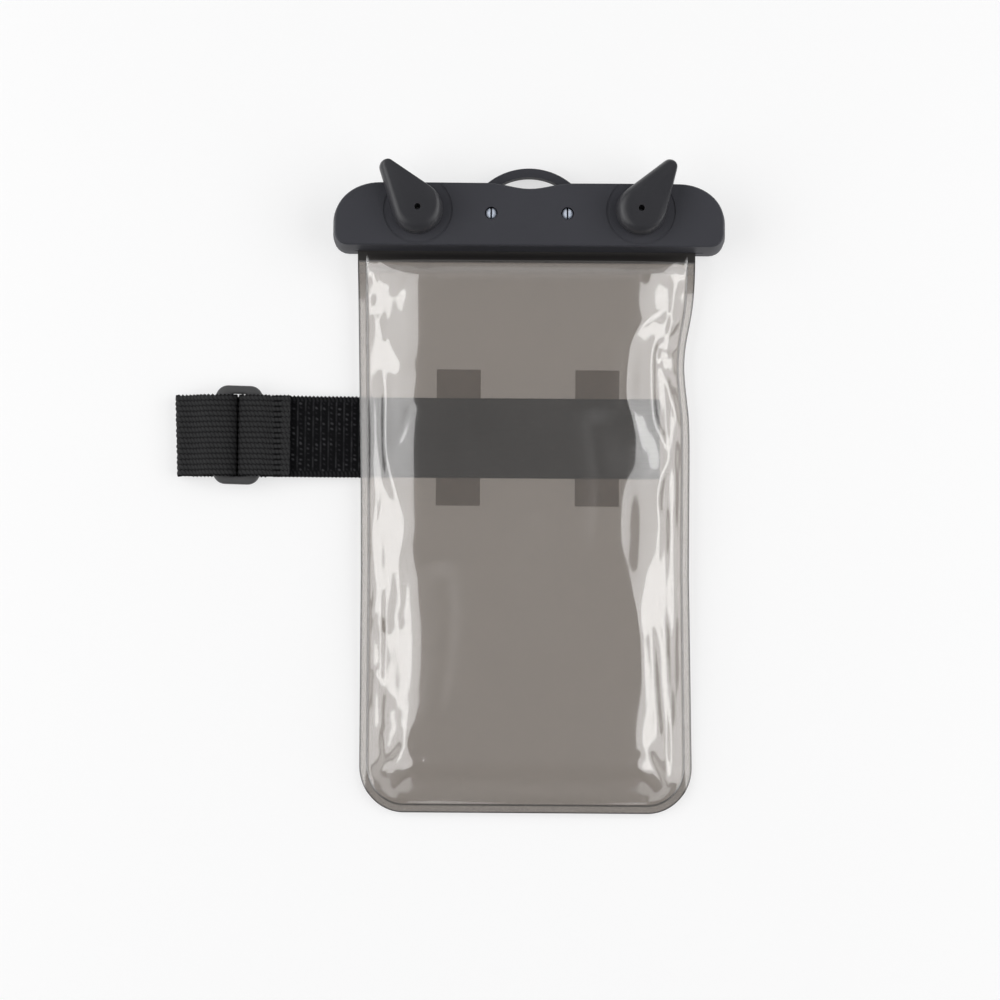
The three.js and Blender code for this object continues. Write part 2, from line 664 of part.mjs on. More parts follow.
// Tab: a short piece of webbing round the buckle's right bar, with the pile strap sewn between its ends.
function buckleTab() {
  const barRight = buckleX + buckleLength / 2;
  const line = new THREE.Path();
  line.moveTo(tabEndX, webbingHeight + plyPitch);
  line.lineTo(barRight + tabRiseStart, webbingHeight + plyPitch);
  line.lineTo(barRight - tabRiseEnd, underBar);
  line.lineTo(halfSlotRight + wrapRadius, underBar);
  line.absarc(halfSlotRight + wrapRadius, wrapHeight, wrapRadius, -Math.PI / 2, -3 * Math.PI / 2, true);
  const tabTop = webbingHeight + 3 * plyPitch;
  const dropStart = barRight - tabDropStart;
  const dropMiddle = dropStart + tabDropRun / 2;
  line.lineTo(dropStart, overBar);
  line.bezierCurveTo(dropMiddle, overBar, dropMiddle, tabTop, dropStart + tabDropRun, tabTop);
  line.lineTo(tabEndX, tabTop);
  return strip(line, ribbedSection());
}

function pileStrap() {
  const line = new THREE.Path();
  const hemHeight = webbingHeight + 2 * plyPitch;
  const bendStart = tabEndX + hemStraight;
  const bendEnd = bendStart + hemRun;
  const handle = hemRun * 0.42;
  line.moveTo(pileStartX, hemHeight);
  line.lineTo(bendStart, hemHeight);
  line.bezierCurveTo(bendStart + handle, hemHeight, bendEnd - handle, pileHeight, bendEnd, pileHeight);
  line.lineTo(pileEndX, pileHeight);
  return strip(line, flatSection(strapWidth, webbingThickness));
}

// A film loop behind the pouch: its two feet are welded to the rear film and the strap runs through it.
function strapLoop() {
  const footHeight = panelHeight - filmGap - loopThickness / 2;
  const inner = strapWidth / 2 + loopSideRoom;
  const line = new THREE.Path();
  line.moveTo(-inner - loopSlope - loopFoot, footHeight);
  line.lineTo(-inner - loopSlope, footHeight);
  line.lineTo(-inner, loopHeight);
  line.lineTo(inner, loopHeight);
  line.lineTo(inner + loopSlope, footHeight);
  line.lineTo(inner + loopSlope + loopFoot, footHeight);
  return strip(line, flatSection(loopLength, loopThickness)).rotateZ(Math.PI / 2);
}

function roundedRect(target, halfX, halfY, radius) {
  target.moveTo(halfX, -halfY + radius);
  target.absarc(halfX - radius, halfY - radius, radius, 0, Math.PI / 2, false);
  target.absarc(-halfX + radius, halfY - radius, radius, Math.PI / 2, Math.PI, false);
  target.absarc(-halfX + radius, -halfY + radius, radius, Math.PI, 3 * Math.PI / 2, false);
  target.absarc(halfX - radius, -halfY + radius, radius, 3 * Math.PI / 2, 2 * Math.PI, false);
  return target;
}

function slideBuckle() {
  const frame = roundedRect(new THREE.Shape(), buckleLength / 2 - buckleEdge, buckleHeight / 2 - buckleEdge,
    buckleCorner - buckleEdge);
  frame.holes.push(roundedRect(new THREE.Path(), slotWidth / 2 + buckleEdge, slotLength / 2 + buckleEdge,
    slotCorner + buckleEdge));
  return new THREE.ExtrudeGeometry(frame, {
    depth: buckleThickness - 2 * buckleEdge, bevelThickness: buckleEdge, bevelSize: buckleEdge,
    bevelSegments: 2, curveSegments: 4,
  }).translate(0, 0, -buckleThickness / 2 + buckleEdge);
}

const group = new THREE.Group();

function place(name, geometry, material, position = [0, 0, 0], turnDegrees = 0) {
  const mesh = new THREE.Mesh(geometry, material);
  mesh.name = name;
  mesh.position.set(...position);
  mesh.rotation.z = THREE.MathUtils.degToRad(turnDegrees);
  group.add(mesh);
}

const clampColour = 0x43434a;
const leverColour = 0x3a3a3c;
const webbingColour = 0x232324;

place('rear_clamp_bar', rearClampBar(), plastic(clampColour, 0.55));
place('front_clamp_bar', frontClampBar(), plastic(clampColour, 0.55));
place('rear_seal_strip', sealStrip(rearBarThickness - sealHeight), plastic(0x9a9a98, 0.8));
place('front_seal_strip', sealStrip(frontDeck), plastic(0x9a9a98, 0.8));
for (const { side, x, lean } of locks) {
  place(`${side}_lever`, lever(), plastic(leverColour, 0.35), [x, lockY, leverFloor], lean);
  place(`${side}_lock_shaft`, lockShaft(), plastic(leverColour, 0.4), [x, lockY, 0]);
  place(`${side}_shaft_screw`, shaftScrew(),
    new THREE.MeshStandardMaterial({ color: 0xb4b6ba, roughness: 0.3, metalness: 1 }), [x, lockY, 0]);
}
for (const { side, x } of pegs) {
  place(`${side}_split_peg`, splitPeg(x), plastic(0xc9d2de, 0.4));
}
place('rear_film', rearFilm(), film(0xa9a49f, 0.6));
place('front_film', frontFilm(), film(0xdedcda, 0.3));
place('left_strap_loop', strapLoop(), film(0xa9a49f, 0.7), [-loopX, strapY, 0]);
place('right_strap_loop', strapLoop(), film(0xa9a49f, 0.7), [loopX, strapY, 0]);
place('strap_webbing', webbing(), plastic(webbingColour, 0.9), [0, strapY, 0]);
place('strap_pile', pileStrap(), plastic(0x1c1c1d, 0.95), [0, strapY, 0]);
place('buckle_tab', buckleTab(), plastic(webbingColour, 0.9), [0, strapY, 0]);
place('slide_buckle', slideBuckle(), plastic(0x3b3b3b, 0.4), [buckleX, buckleY, wrapHeight], buckleTilt);

export default group;
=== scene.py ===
import bpy
import json
import math
import numpy as np
from mathutils import Matrix, Vector

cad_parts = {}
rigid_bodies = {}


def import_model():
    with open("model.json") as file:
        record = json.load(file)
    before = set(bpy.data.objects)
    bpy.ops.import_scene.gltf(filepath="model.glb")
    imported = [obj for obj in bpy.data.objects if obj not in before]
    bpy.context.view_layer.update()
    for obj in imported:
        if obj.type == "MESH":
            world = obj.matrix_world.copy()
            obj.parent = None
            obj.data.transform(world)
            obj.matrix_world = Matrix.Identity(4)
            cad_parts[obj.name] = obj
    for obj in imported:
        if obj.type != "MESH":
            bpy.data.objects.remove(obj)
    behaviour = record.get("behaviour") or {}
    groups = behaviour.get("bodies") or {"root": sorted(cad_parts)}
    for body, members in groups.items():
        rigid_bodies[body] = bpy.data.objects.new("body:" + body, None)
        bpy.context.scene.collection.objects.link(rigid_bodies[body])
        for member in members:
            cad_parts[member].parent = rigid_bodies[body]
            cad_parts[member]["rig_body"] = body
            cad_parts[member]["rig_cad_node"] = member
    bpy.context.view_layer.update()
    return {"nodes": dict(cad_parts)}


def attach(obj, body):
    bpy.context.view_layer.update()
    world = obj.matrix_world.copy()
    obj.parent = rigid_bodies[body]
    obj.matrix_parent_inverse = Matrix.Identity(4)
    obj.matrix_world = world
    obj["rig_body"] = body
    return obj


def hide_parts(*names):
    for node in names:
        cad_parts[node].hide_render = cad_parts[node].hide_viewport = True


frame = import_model()
print("frame loaded:", len(frame["nodes"]), "nodes")

# Sizes are in millimetres, and are turned to metres where a piece is placed.
mm = 0.001


# Small helpers round the operators

def deselectAll():
    if bpy.context.mode != "OBJECT":
        bpy.ops.object.mode_set(mode="OBJECT")
    bpy.ops.object.select_all(action="DESELECT")


def makeActive(piece):
    deselectAll()
    piece.select_set(True)
    bpy.context.view_layer.objects.active = piece


def applyModifier(piece, kind, **settings):
    makeActive(piece)
    bpy.ops.object.modifier_add(type=kind)
    modifier = piece.modifiers[-1]
    for name, value in settings.items():
        setattr(modifier, name, value)
    bpy.ops.object.modifier_apply(modifier=modifier.name)


def finishPiece(piece, material, slotName, body, *nodes):
    piece.data.materials.clear()
    piece.data.materials.append(material)
    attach(piece, body)
    if nodes:
        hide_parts(*nodes)


def smoothByAngle(piece, degrees):
    makeActive(piece)
    bpy.ops.object.shade_smooth_by_angle(angle=math.radians(degrees))


# A grid whose vertices are then laid out by a function of their column and row.
def makeSheet(name, columns, rows):
    deselectAll()
    bpy.ops.mesh.primitive_grid_add(x_subdivisions=columns - 1, y_subdivisions=rows - 1, size=2)
    sheet = bpy.context.object
    sheet.name = name
    flat = readPoints(sheet)
    column = np.rint((flat[:, 0] + 1) / 2 * (columns - 1)).astype(int)
    row = np.rint((flat[:, 1] + 1) / 2 * (rows - 1)).astype(int)
    return sheet, column, row


def readPoints(piece):
    flat = np.empty(len(piece.data.vertices) * 3)
    piece.data.vertices.foreach_get("co", flat)
    return flat.reshape(-1, 3)


def writePoints(piece, points):
    piece.data.vertices.foreach_set("co", np.asarray(points, float).ravel())
    piece.data.update()


def writeAttribute(piece, name, values):
    layer = piece.data.attributes.new(name, "FLOAT", "POINT")
    layer.data.foreach_set("value", np.asarray(values, float))


# Shader maths: an expression on Values adds its Math nodes.

class Value:
    def __init__(self, graph, socket):
        self.graph = graph
        self.socket = socket

    def maths(self, operation, *others):
        return self.graph.add("ShaderNodeMath", {"operation": operation}, dict(enumerate((self, *others))))

    def __add__(self, other):
        return self.maths("ADD", other)

    def __radd__(self, other):
        return self.maths("ADD", other)

    def __sub__(self, other):
        return self.maths("SUBTRACT", other)

    def __rsub__(self, other):
        return self.graph.add("ShaderNodeMath", {"operation": "SUBTRACT"}, {0: other, 1: self})

    def __mul__(self, other):
        return self.maths("MULTIPLY", other)

    def __rmul__(self, other):
        return self.maths("MULTIPLY", other)

    def __pow__(self, other):
        return self.maths("POWER", other)

    def size(self):
        return self.maths("ABSOLUTE")

    def most(self, other):
        return self.maths("MAXIMUM", other)

    def ease(self, low, high):
        return self.graph.add("ShaderNodeMapRange", {"interpolation_type": "SMOOTHSTEP"},
                              {"Value": self, "From Min": low, "From Max": high})


class Graph:
    def __init__(self, owner):
        owner.use_nodes = True
        self.owner = owner
        self.nodes = owner.node_tree.nodes
        self.links = owner.node_tree.links
        self.nodes.clear()

    def add(self, kind, settings, sockets, output=0):
        node = self.nodes.new(kind)
        for name, value in settings.items():
            setattr(node, name, value)
        for name, value in sockets.items():
            if isinstance(value, Value):
                self.links.new(value.socket, node.inputs[name])
            else:
                node.inputs[name].default_value = value
        return Value(self, node.outputs[output])

    def place(self):
        return self.add("ShaderNodeTexCoord", {}, {}, "Object")

    def alongY(self):
        return self.add("ShaderNodeSeparateXYZ", {}, {"Vector": self.place()}, "Y")

    def attribute(self, name):
        return self.add("ShaderNodeAttribute", {"attribute_name": name}, {}, "Fac")

    def noise(self, scale, detail=2, stretch=(1, 1, 1)):
        source = self.add("ShaderNodeMapping", {}, {"Vector": self.place(), "Scale": stretch})
        sockets = {"Vector": source, "Scale": scale, "Detail": detail}
        return self.add("ShaderNodeTexNoise", {}, sockets, "Fac")

    def blend(self, amount, first, second):
        return self.add("ShaderNodeMix", {"data_type": "RGBA"}, {0: amount, 6: first, 7: second}, 2)

    def bump(self, height, distance):
        return self.add("ShaderNodeBump", {}, {"Height": height, "Distance": distance})

    def principled(self, sockets):
        return self.add("ShaderNodeBsdfPrincipled", {}, sockets)

    def mixShader(self, amount, first, second):
        return self.add("ShaderNodeMixShader", {}, {0: amount, 1: first, 2: second})

    def finish(self, surface, outputKind="ShaderNodeOutputMaterial"):
        output = self.nodes.new(outputKind)
        self.links.new(surface.socket, output.inputs["Surface"])
        return self.owner


def newMaterial(name):
    return Graph(bpy.data.materials.new(name))


def tint(colour, share=1):
    return tuple(part * share for part in colour) + (1,)


# Camera and light

view = {"target": (-8.65, -89.6, 3.0), "distance": 1000, "mmPerPixel": 0.3165, "imageWidth": 1000,
        "tilt": 5.0, "roll": 0.4, "sensor": 36, "near": 0.01, "far": 20}


def makeCamera():
    tilt, roll = math.radians(view["tilt"]), math.radians(view["roll"])
    target = Vector(view["target"]) * mm
    looking = Vector((0, math.sin(tilt), -math.cos(tilt)))
    rightward, upward = Vector((1, 0, 0)), Vector((0, math.cos(tilt), math.sin(tilt)))
    x = rightward * math.cos(roll) + upward * math.sin(roll)
    y = upward * math.cos(roll) - rightward * math.sin(roll)
    deselectAll()
    bpy.ops.object.camera_add()
    camera = bpy.context.object
    pose = Matrix((x, y, -looking)).transposed().to_4x4()
    pose.translation = target - looking * view["distance"] * mm
    camera.matrix_world = pose
    camera.data.sensor_width = view["sensor"]
    camera.data.lens = view["sensor"] * view["distance"] / (view["imageWidth"] * view["mmPerPixel"])
    camera.data.clip_start = view["near"]
    camera.data.clip_end = view["far"]
    bpy.context.scene.camera = camera
    print("camera made")


# Two soft boxes at the sides, each with a brighter middle, under a dim even sky.
lamps = {
    "left surround": {"place": (-780, -60, 500), "size": (1300, 980), "radiance": 1.62},
    "left core": {"place": (-760, -60, 390), "size": (760, 240), "radiance": 1.9},
    "right surround": {"place": (780, -60, 500), "size": (1300, 980), "radiance": 1.62},
    "right core": {"place": (760, -60, 390), "size": (760, 240), "radiance": 1.9},
}
lampAim = (0, -80, 0)
sky = {"colour": (0.97, 0.98, 1), "overhead": 0.10, "sides": 0.12, "sidesFrom": (0.25, 0.85), "back": 0.25,
       "backFrom": (0.2, 0.9), "front": 0.04, "frontFrom": (0.2, 0.8)}


def makeLights():
    for name, lamp in lamps.items():
        deselectAll()
        place = Vector(lamp["place"]) * mm
        bpy.ops.object.light_add(type="AREA", location=place)
        light = bpy.context.object
        light.name = name
        aim = Vector(lampAim) * mm - place
        light.rotation_mode = "QUATERNION"
        light.rotation_quaternion = aim.to_track_quat("-Z", "Y")
        light.data.shape = "RECTANGLE"
        light.data.size, light.data.size_y = (side * mm for side in lamp["size"])
        light.data.energy = lamp["radiance"] * math.pi * light.data.size * light.data.size_y
    g = Graph(bpy.data.worlds.new("studio"))
    direction = g.add("ShaderNodeTexCoord", {}, {}, "Generated")
    sideways = g.add("ShaderNodeSeparateXYZ", {}, {"Vector": direction}, "X").size()
    backward = g.add("ShaderNodeSeparateXYZ", {}, {"Vector": direction}, "Y")
    strength = (sky["overhead"] + sideways.ease(*sky["sidesFrom"]) * sky["sides"]
                + backward.ease(*sky["backFrom"]) * sky["back"]
                - (0 - backward).ease(*sky["frontFrom"]) * sky["front"])
    background = g.add("ShaderNodeBackground", {}, {"Color": tint(sky["colour"]), "Strength": strength})
    bpy.context.scene.world = g.finish(background, "ShaderNodeOutputWorld")
    bpy.context.scene.view_settings.view_transform = "Standard"
    print("lights made")


floor = {"size": 6, "below": 0.2, "albedo": 0.93, "seenAlbedo": 0.38, "seenGlow": 0.64}


# The floor looks nearly white and keeps soft shadows.
def makeFloor():
    deselectAll()
    bpy.ops.mesh.primitive_plane_add(size=floor["size"], location=(0, 0, -floor["below"] * mm))
    ground = bpy.context.object
    ground.name = "studio_floor"
    g = newMaterial("pale floor")
    seen = g.add("ShaderNodeLightPath", {}, {}, "Is Camera Ray")
    for ray in ("Is Glossy Ray", "Is Transmission Ray"):
        seen = seen.most(g.add("ShaderNodeLightPath", {}, {}, ray))
    lit = g.add("ShaderNodeBsdfDiffuse", {}, {"Color": (*[floor["albedo"]] * 3, 1)})
    shaded = g.add("ShaderNodeBsdfDiffuse", {}, {"Color": (*[floor["seenAlbedo"]] * 3, 1)})
    glow = g.add("ShaderNodeEmission", {}, {"Color": (1, 1, 1, 1), "Strength": floor["seenGlow"]})
    both = g.add("ShaderNodeAddShader", {}, {0: shaded, 1: glow})
    ground.data.materials.append(g.finish(g.mixShader(seen, lit, both)))
    print("floor made")


# Rigid pieces

moulding = {"cloudScale": 60, "rubScale": 180, "rubStretch": (1, 0.35, 1), "rubbed": (0.62, 0.78),
            "darker": 0.9, "lighter": 1.12, "grainShine": 0.12, "rubShine": 0.05, "specular": 0.36,
            "cloudBump": 0.5}
clampLook = {"name": "clamp plastic", "colour": (0.045, 0.0455, 0.0545), "roughness": 0.58, "grain": 0.02,
             "grainSize": 0.25}
leverLook = {"name": "lever plastic", "colour": (0.038, 0.038, 0.0425), "roughness": 0.34, "grain": 0.01,
             "grainSize": 0.4}
buckleLook = {"name": "buckle plastic", "colour": (0.078, 0.078, 0.079), "roughness": 0.36, "grain": 0.012,
              "grainSize": 0.35}


# Moulded plastic: fine even grain, with slight cloudiness and a few rubbed places.
def mouldedPlastic(look):
    g = newMaterial(look["name"])
    cloud = g.noise(moulding["cloudScale"], 3)
    speck = g.noise(1 / (look["grainSize"] * mm), 2)
    rub = g.noise(moulding["rubScale"], 4, stretch=moulding["rubStretch"]).ease(*moulding["rubbed"])
    tone = g.blend(cloud, tint(look["colour"], moulding["darker"]), tint(look["colour"], moulding["lighter"]))
    shine = look["roughness"] + (speck - 0.5) * moulding["grainShine"] - rub * moulding["rubShine"]
    return g.finish(g.principled({
        "Base Color": tone, "Roughness": shine, "Specular IOR Level": moulding["specular"],
        "Normal": g.bump(speck + cloud * moulding["cloudBump"], look["grain"] * mm)}))


pegLook = {"dark": (0.62, 0.70, 0.86), "light": (0.84, 0.90, 1.0), "streakScale": 400,
           "streakStretch": (1, 1, 0.2), "roughness": 0.3, "streakShine": 0.1}


def palePlastic():
    g = newMaterial("pale peg plastic")
    streak = g.noise(pegLook["streakScale"], 2, stretch=pegLook["streakStretch"])
    tone = g.blend(streak, tint(pegLook["dark"]), tint(pegLook["light"]))
    shine = pegLook["roughness"] + streak * pegLook["streakShine"]
    return g.finish(g.principled({"Base Color": tone, "Roughness": shine}))


steelLook = {"colour": (0.55, 0.56, 0.58), "turnScale": 900, "turnStretch": (1, 1, 0.1), "roughness": 0.25,
             "turnShine": 0.15}


def platedSteel():
    g = newMaterial("plated screw steel")
    turned = g.noise(steelLook["turnScale"], 2, stretch=steelLook["turnStretch"])
    return g.finish(g.principled({"Base Color": tint(steelLook["colour"]), "Metallic": 1.0,
                                  "Roughness": steelLook["roughness"] + turned * steelLook["turnShine"]}))


rubberLook = {"dark": (0.265, 0.26, 0.255), "light": (0.37, 0.36, 0.35), "cloudScale": 250,
              "roughness": 0.75, "cloudShine": 0.1, "bump": 0.05}


def softRubber():
    g = newMaterial("seal rubber")
    cloud = g.noise(rubberLook["cloudScale"], 3)
    tone = g.blend(cloud, tint(rubberLook["dark"]), tint(rubberLook["light"]))
    shine = rubberLook["roughness"] + cloud * rubberLook["cloudShine"]
    return g.finish(g.principled({"Base Color": tone, "Roughness": shine,
                                  "Normal": g.bump(cloud, rubberLook["bump"] * mm)}))


cleaning = {"merge": 0.002, "flatAngle": 0.5}


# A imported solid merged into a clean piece, with its edges softened where a width is given.
def refineNode(node, material, slotName, body, angle=32, edge=0.0, segments=2):
    source = frame["nodes"][node]
    piece = source.copy()
    piece.data = source.data.copy()
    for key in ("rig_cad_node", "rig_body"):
        if key in piece:
            del piece[key]
    piece.name = node + "_moulding"
    piece.parent = None
    bpy.context.scene.collection.objects.link(piece)
    makeActive(piece)
    bpy.ops.mesh.customdata_custom_splitnormals_clear()
    bpy.ops.object.mode_set(mode="EDIT")
    bpy.ops.mesh.select_all(action="SELECT")
    bpy.ops.mesh.remove_doubles(threshold=cleaning["merge"] * mm)
    bpy.ops.mesh.dissolve_limited(angle_limit=math.radians(cleaning["flatAngle"]))
    bpy.ops.object.mode_set(mode="OBJECT")
    smoothByAngle(piece, angle)
    if edge:
        applyModifier(piece, "BEVEL", width=edge * mm, segments=segments, limit_method="ANGLE",
                      angle_limit=math.radians(angle), use_clamp_overlap=True, harden_normals=True)
    finishPiece(piece, material, slotName, body, node)
    return piece


ring = {"x": 35.2, "y": 1.3, "radius": 10.65, "reach": 0.6, "below": 0.6, "depth": 0.16}


# The ring round each lever is a fine line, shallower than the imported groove.
def softenRings(piece):
    points = readPoints(piece) / mm
    face = points[:, 2].max()
    fromLever = np.hypot(np.abs(points[:, 0]) - ring["x"], points[:, 1] - ring["y"])
    deep = (np.abs(fromLever - ring["radius"]) < ring["reach"]) & (points[:, 2] > face - ring["below"])
    points[deep, 2] = np.maximum(points[deep, 2], face - ring["depth"])
    writePoints(piece, points * mm)


pegRise = 0.8


# The pegs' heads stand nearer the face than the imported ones, where the light reaches them.
def raisePeg(piece):
    writePoints(piece, readPoints(piece) + (0, 0, pegRise * mm))


def makeRigidPieces():
    clamp = mouldedPlastic(clampLook)
    knob = mouldedPlastic(leverLook)
    slide = mouldedPlastic(buckleLook)
    softenRings(refineNode("front_clamp_bar", clamp, "clamp_plastic", "pouch", edge=0.14))
    refineNode("rear_clamp_bar", clamp, "clamp_plastic", "pouch", edge=0.14)
    steel = platedSteel()
    peg = palePlastic()
    for side in ("left", "right"):
        body = side + "_lock"
        refineNode(side + "_lever", knob, "lever_plastic", body, angle=40, edge=0.1)
        refineNode(side + "_lock_shaft", knob, "lever_plastic", body)
        refineNode(side + "_shaft_screw", steel, "screw_steel", body)
        raisePeg(refineNode(side + "_split_peg", peg, "peg_plastic", "pouch", angle=50))
    refineNode("slide_buckle", slide, "buckle_plastic", "pouch", angle=50, edge=0.35, segments=3)
    rubber = softRubber()
    for node in ("front_seal_strip", "rear_seal_strip"):
        refineNode(node, rubber, "seal_rubber", "pouch")
    print("rigid pieces made")


# Films

bag = {"halfWidth": 52.8, "bottom": -188.2, "corner": 14.4, "weld": 2.5, "pocketHalfWidth": 35.3,
       "pocketTop": -26.4, "pocketBottom": -173.4, "pocketDepth": 8.3, "panel": 3.3, "bottomRim": 0.9,
       "rimFall": -105, "mouth": -12.2, "rearLip": 8.6, "frontLip": -5.6, "lipHeight": 6.1,
       "thickness": 0.4, "gap": 0.1, "flare": 1.5, "taper": 0.7, "pinch": 3.0, "pinchAt": -44,
       "pinchSpread": 13, "edgeRound": 2.4, "topPower": 2.4, "bead": 0.36, "rimDrop": 0.58,
       "underClamp": -14.7, "paintedHighlightY": -16.6, "belly": 0.12, "wanderWithin": 45}
clearLook = {"tint": (0.975, 0.97, 0.965), "haze": 0.035, "weldHaze": 0.05, "hazeTone": 0.5, "gloss": 0.1,
             "paintedHighlightHaze": 0.1}
smokeLook = {"tint": (0.648, 0.612, 0.58), "haze": 0.075, "weldHaze": 0.2, "hazeTone": 0.62, "gloss": 0.05,
             "paintedHighlightHaze": 0.12}
filmLook = {"sharpShine": 0.075, "softShine": 0.3, "softShare": 0.35, "cut": (0.12, 0.6),
            "seam": (0.12, 0.4), "seamDark": 0.8, "weldBlur": 0.3, "paintedHighlightBand": (0.5, 1.5), "cloudScale": 35,
            "leastHaze": 0.7, "cloudHaze": 0.6, "lineCover": 0.6, "shadowCover": 0.97, "roughness": 0.6,
            "pale": (1, 0.97, 0.94), "dark": (0.035, 0.032, 0.03)}


# Film: tinted and see-through, slightly hazy, milky at the weld, with dark cut and weld lines and a wet gloss;
# a painted shadow darkens it just below the clamp, and a painted highlight, a pale band, crosses it a little
# lower.
def filmMaterial(name, look):
    g = newMaterial(name)
    fromEdge = g.attribute("fromEdge")
    cutLine = 1 - fromEdge.ease(*filmLook["cut"])
    seam = 1 - (fromEdge - bag["weld"]).size().ease(*filmLook["seam"])
    lines = cutLine.most(seam * filmLook["seamDark"])
    welded = 1 - fromEdge.ease(bag["weld"] - filmLook["weldBlur"], bag["weld"] + filmLook["weldBlur"])
    haze = look["haze"] * (filmLook["leastHaze"] + g.noise(filmLook["cloudScale"], 3) * filmLook["cloudHaze"])
    # Painted shadow: the film turns dark and nearly opaque just below the clamp.
    shadow = g.alongY().ease(bag["underClamp"] * mm, (bag["underClamp"] + 1) * mm)
    # Painted highlight: a pale milky band across the film a little below the clamp, standing in for the light
    # line there.
    fromPaintedHighlight = (g.alongY() - bag["paintedHighlightY"] * mm).size()
    paintedHighlightBand = 1 - fromPaintedHighlight.ease(*(reach * mm for reach in filmLook["paintedHighlightBand"]))
    cover = haze + welded * (look["weldHaze"] - look["haze"]) + paintedHighlightBand * look["paintedHighlightHaze"]
    pale = tint(filmLook["pale"], look["hazeTone"])
    tone = g.blend(lines.most(shadow), pale, tint(filmLook["dark"]))
    body = g.principled({"Base Color": tone, "Roughness": filmLook["roughness"], "Specular IOR Level": 0.0})
    clear = g.add("ShaderNodeBsdfTransparent", {}, {"Color": tint(look["tint"])})
    cover = cover.most(lines * filmLook["lineCover"]).most(shadow * filmLook["shadowCover"])
    film = g.mixShader(cover, clear, body)
    facing = g.add("ShaderNodeLayerWeight", {}, {"Blend": 0.5}, "Facing")
    sharp, soft = (g.add("ShaderNodeBsdfGlossy", {}, {"Color": (1, 1, 1, 1), "Roughness": filmLook[shine]})
                   for shine in ("sharpShine", "softShine"))
    amount = look["gloss"] + (1 - look["gloss"]) * facing ** 5
    return g.finish(g.mixShader(amount, film, g.mixShader(filmLook["softShare"], sharp, soft)))


def smoothStep(t):
    t = np.clip(t, 0, 1)
    return t * t * (3 - 2 * t)


def filmHalfWidth(y):
    into = np.maximum(0, bag["bottom"] + bag["corner"] - y)
    return bag["halfWidth"] - bag["corner"] + np.sqrt(np.maximum(0, bag["corner"] ** 2 - into ** 2))


def distanceFromEdge(x, y):
    aside = np.abs(x) - (bag["halfWidth"] - bag["corner"])
    below = bag["bottom"] + bag["corner"] - y
    straight = np.minimum(bag["halfWidth"] - np.abs(x), y - bag["bottom"])
    inCorner = bag["corner"] - np.hypot(aside, below)
    return np.where((aside > 0) & (below > 0), inCorner, straight)


# Zero well below nothing, the value itself well above, and a round bend between.
def softRise(value, softness):
    return (value + np.sqrt(value ** 2 + softness ** 2)) / 2


# How far a point is from the flat pocket towards the weld: 0 over the pocket, 1 at the weld.
def slopeShares(x, y, softness=0.01):
    sideRun = bag["halfWidth"] - bag["weld"] - bag["pocketHalfWidth"]
    bottomRun = bag["pocketBottom"] - bag["bottom"] - bag["weld"]
    topRun = bag["mouth"] - bag["pocketTop"]
    aside = softRise(np.abs(x) - bag["pocketHalfWidth"], softness) / sideRun
    below = softRise(bag["pocketBottom"] - y, softness) / bottomRun
    above = softRise(y - bag["pocketTop"], softness) / topRun
    return aside, below, above


def slopeShare(x, y):
    aside, below, above = slopeShares(x, y)
    return np.minimum(1, np.hypot(aside, np.maximum(below, above)))


def rearHeight(x, y):
    toClamp = smoothStep((y - bag["pocketTop"]) / (bag["mouth"] - bag["pocketTop"]))
    toBottom = smoothStep((bag["rimFall"] - y) / (bag["rimFall"] - bag["bottom"]))
    rim = bag["panel"] - (bag["panel"] - bag["bottomRim"]) * toBottom
    panel = bag["panel"] + (rim - bag["panel"]) * smoothStep(slopeShare(x, y))
    drop = bag["rimDrop"] * np.clip((np.abs(x) - bag["halfWidth"]) / bag["weld"] + 1, 0, 1)
    return panel + (bag["lipHeight"] - panel) * toClamp - drop * (1 - toClamp)


# The pocket's edges wander a little.
edgeWaves = ({"height": 0.7, "length": 19, "turn": 1}, {"height": 0.4, "length": 7.3, "turn": 2})


def frontHeight(x, y):
    wander = sum(w["height"] * np.sin(y / w["length"] + w["turn"] * np.sign(x)) for w in edgeWaves)
    inner = np.abs(x) - wander * (np.abs(x) < bag["wanderWithin"])
    aside, below, above = slopeShares(inner, y, bag["edgeRound"])
    down = np.minimum(1, np.hypot(aside, below))
    bulge = (1 - down) * (1 + bag["belly"] * down) * (1 - np.minimum(1, above) ** bag["topPower"])
    return rearHeight(x, y) + bag["thickness"] + bag["gap"] + bag["pocketDepth"] * bulge


